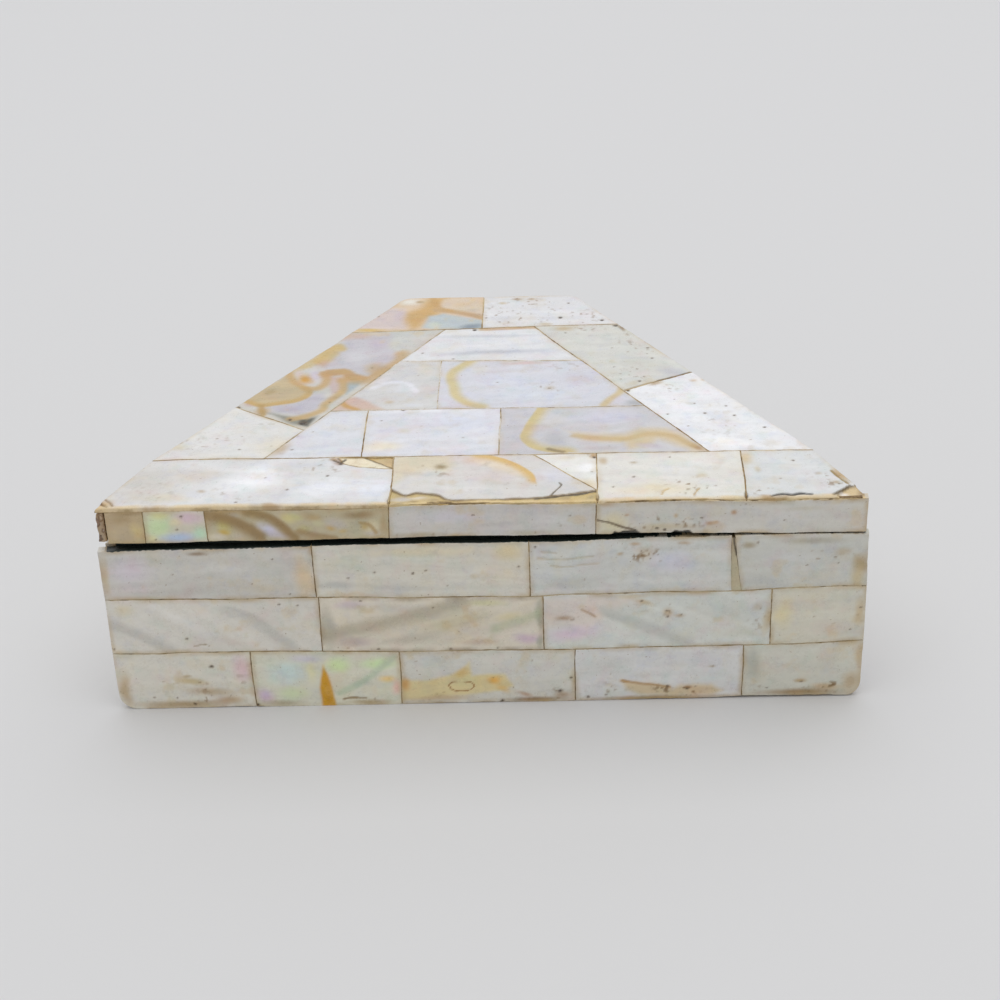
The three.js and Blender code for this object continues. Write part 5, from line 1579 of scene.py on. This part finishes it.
def addFiller(name, ribs, dark, light):
    # resin that is pale in some stretches and dark with dirt in others, with a few black dots
    points = np.concatenate([rib["points"] for rib in ribs]) / mm
    x, up = points[:, 0], points[:, 1] + points[:, 2]
    share = smoothStep(-0.35, 0.5, layeredNoise(x, up, 4, 77, 4))[:, None]
    tones = hexColour(dark) * (1 - share) + hexColour(light) * share
    dots = fillerLook["dotted"] * smoothStep(0.3, 0.5, layeredNoise(x, up, 1.3, 78, 3))[:, None]
    tones = tones * (1 - dots) + hexColour(fillerLook["dots"]) * dots
    pieceFrom(name, ribs, {"shellColour": tones}, filler)


topRibs = [seamRib(lidTopFace, np.clip(line, (-62, 0.6), (62, 75)), "top", 200 + k)
           for k, line in enumerate(topSeams)]
cleanSeams = (2, 11, 13, 14, 15)  # the left strip's seam, both row seams and two joints are hardly stained
frontRibs, rowRibs = [], []
for key, course in courses.items():
    face = lidFrontFace if key == "rim" else bodyFrontFace
    for k, x in enumerate(course["front"]):
        if isinstance(x, tuple):
            continue  # the wedge fills this one
        line = [(x, seamHeight(course["low"], x) + 0.2), (x, seamHeight(course["high"], x) - 0.05)]
        frontRibs.append(seamRib(face, line, "joint", 300 + k))
    if key in ("low", "middle"):
        x = np.linspace(-62, 62, 40)
        line = np.stack([x, seamHeight(course["high"], x)], axis=-1)
        rowRibs.append(seamRib(face, line, "row", 330 + len(rowRibs)))
x = np.linspace(-61, 61.4, 90)
line = np.stack([x, seamHeight("glueLine", x)], axis=-1)
frontRibs.append(seamRib(lidFrontFace, line, "glue", 390))

# A wide joint in the upper course is filled with a leaning wedge of shell and resin
wedge = np.array([(40.74, 21.85), (42.37, 21.85), (41.27, 31.95), (40.74, 31.95)])
wedgeLook = {"base": "cabf9f", "limits": ((-63, 63), (0, 99)), "foxed": 0.7, "foxTone": "9a8760",
             "soil": 0.5, "soilTone": "8a7048", "round": 0.03, "soiled": 0.1,
             "cracks": [([(41.05, 31.9), (41.1, 31), (41.4, 29.9), (41.7, 28.8)], 0.3, "3c2c08", 0.9)]}
wedgeShell, wedgeFields = plaqueShell(bodyFrontFace, wedge, boxSize["sideShell"] - 0.05, wedgeLook, 2024)

addFiller("filler_top", [rib for k, rib in enumerate(topRibs) if k not in cleanSeams], "866a3c", "d3c29a")
addFiller("filler_rows", [topRibs[k] for k in cleanSeams], "b8aa8c", "e9e6df")
pieceFrom("filler_wedge", [wedgeShell], wedgeFields, nacre)
addFiller("filler_front", frontRibs, "6a5230", "bfa878")
addFiller("filler_courses", rowRibs, "8d7850", "cfc2a2")
addFiller("filler_sides", wallRibs, "6f5a3a", "ab946a")
print("seams filled")

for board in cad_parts.values():
    if not board.hide_render:
        board.data.materials.clear()
        board.data.materials.append(wood)


def addFloor(half, tone):
    # plain pale paper that fills the view, a square of twice this half in metres
    mesh = bpy.data.meshes.new("floor")
    corners = [(-half, -half, 0), (half, -half, 0), (half, half, 0), (-half, half, 0)]
    mesh.from_pydata(corners, [], [(0, 1, 2, 3)])
    floor = bpy.data.objects.new("floor", mesh)
    bpy.context.collection.objects.link(floor)
    material, tree, _ = newMaterial("paper")
    surface = addNode(tree, "BsdfPrincipled", {"Base Color": rgba(tone), "Roughness": 0.9,
                                               "Specular IOR Level": 0.1})
    addNode(tree, "OutputMaterial", {"Surface": surface})
    mesh.materials.append(material)


def addPanel(name, place, target, size, power, tone):
    # a soft panel of light that looks at a point
    lamp = bpy.data.lights.new(name, "AREA")
    lamp.shape = "RECTANGLE"
    lamp.size, lamp.size_y = size
    lamp.energy = power
    lamp.color = tuple(hexColour(tone))
    panel = bpy.data.objects.new(name, lamp)
    panel.location = place
    panel.rotation_euler = (Vector(target) - Vector(place)).to_track_quat("-Z", "Y").to_euler()
    bpy.context.collection.objects.link(panel)


# The room, in metres and watts
room = {"paper": "dcdcdc", "halfPaper": 3, "air": "f4f4f6", "airStrength": 0.54}
panels = {
    "overheadPanel": {"place": (0, 0.02, 1.1), "target": (0, 0, 0), "size": (1.7, 1.5), "power": 8.5,
                      "tone": "ffffff"},
    "backPanel": {"place": (0.1, 1.1, 0.75), "target": (0, 0, 0.02), "size": (1.8, 0.7), "power": 2,
                  "tone": "f4f7ff"},
}
addFloor(room["halfPaper"], room["paper"])
for name, panel in panels.items():
    addPanel(name, **panel)
world = bpy.data.worlds.new("room")
world.use_nodes = True
background = world.node_tree.nodes["Background"].inputs
background["Color"].default_value = rgba(room["air"])
background["Strength"].default_value = room["airStrength"]
bpy.context.scene.world = world
bpy.context.scene.view_settings.view_transform = "Standard"
print("room lit")

# The view: from in front and above, turned and rolled a couple of degrees
view = {"pitch": 30.985, "yaw": -2.184, "roll": -2.368, "place": (14.88, -340.06, 221.76), "lens": 79.143}
pitch, yaw, roll = [math.radians(view[key]) for key in ("pitch", "yaw", "roll")]
ahead = Vector((math.sin(yaw) * math.cos(pitch), math.cos(yaw) * math.cos(pitch), -math.sin(pitch)))
level = Vector((math.cos(yaw), -math.sin(yaw), 0))
upright = level.cross(ahead)
right = level * math.cos(roll) + upright * math.sin(roll)
up = upright * math.cos(roll) - level * math.sin(roll)
turn = Matrix((right, up, -ahead)).transposed().to_4x4()
camera = bpy.data.objects.new("camera", bpy.data.cameras.new("camera"))
camera.data.lens = view["lens"]
camera.data.sensor_width = 36
camera.matrix_world = Matrix.Translation(Vector(view["place"]) * mm) @ turn
bpy.context.collection.objects.link(camera)
bpy.context.scene.camera = camera
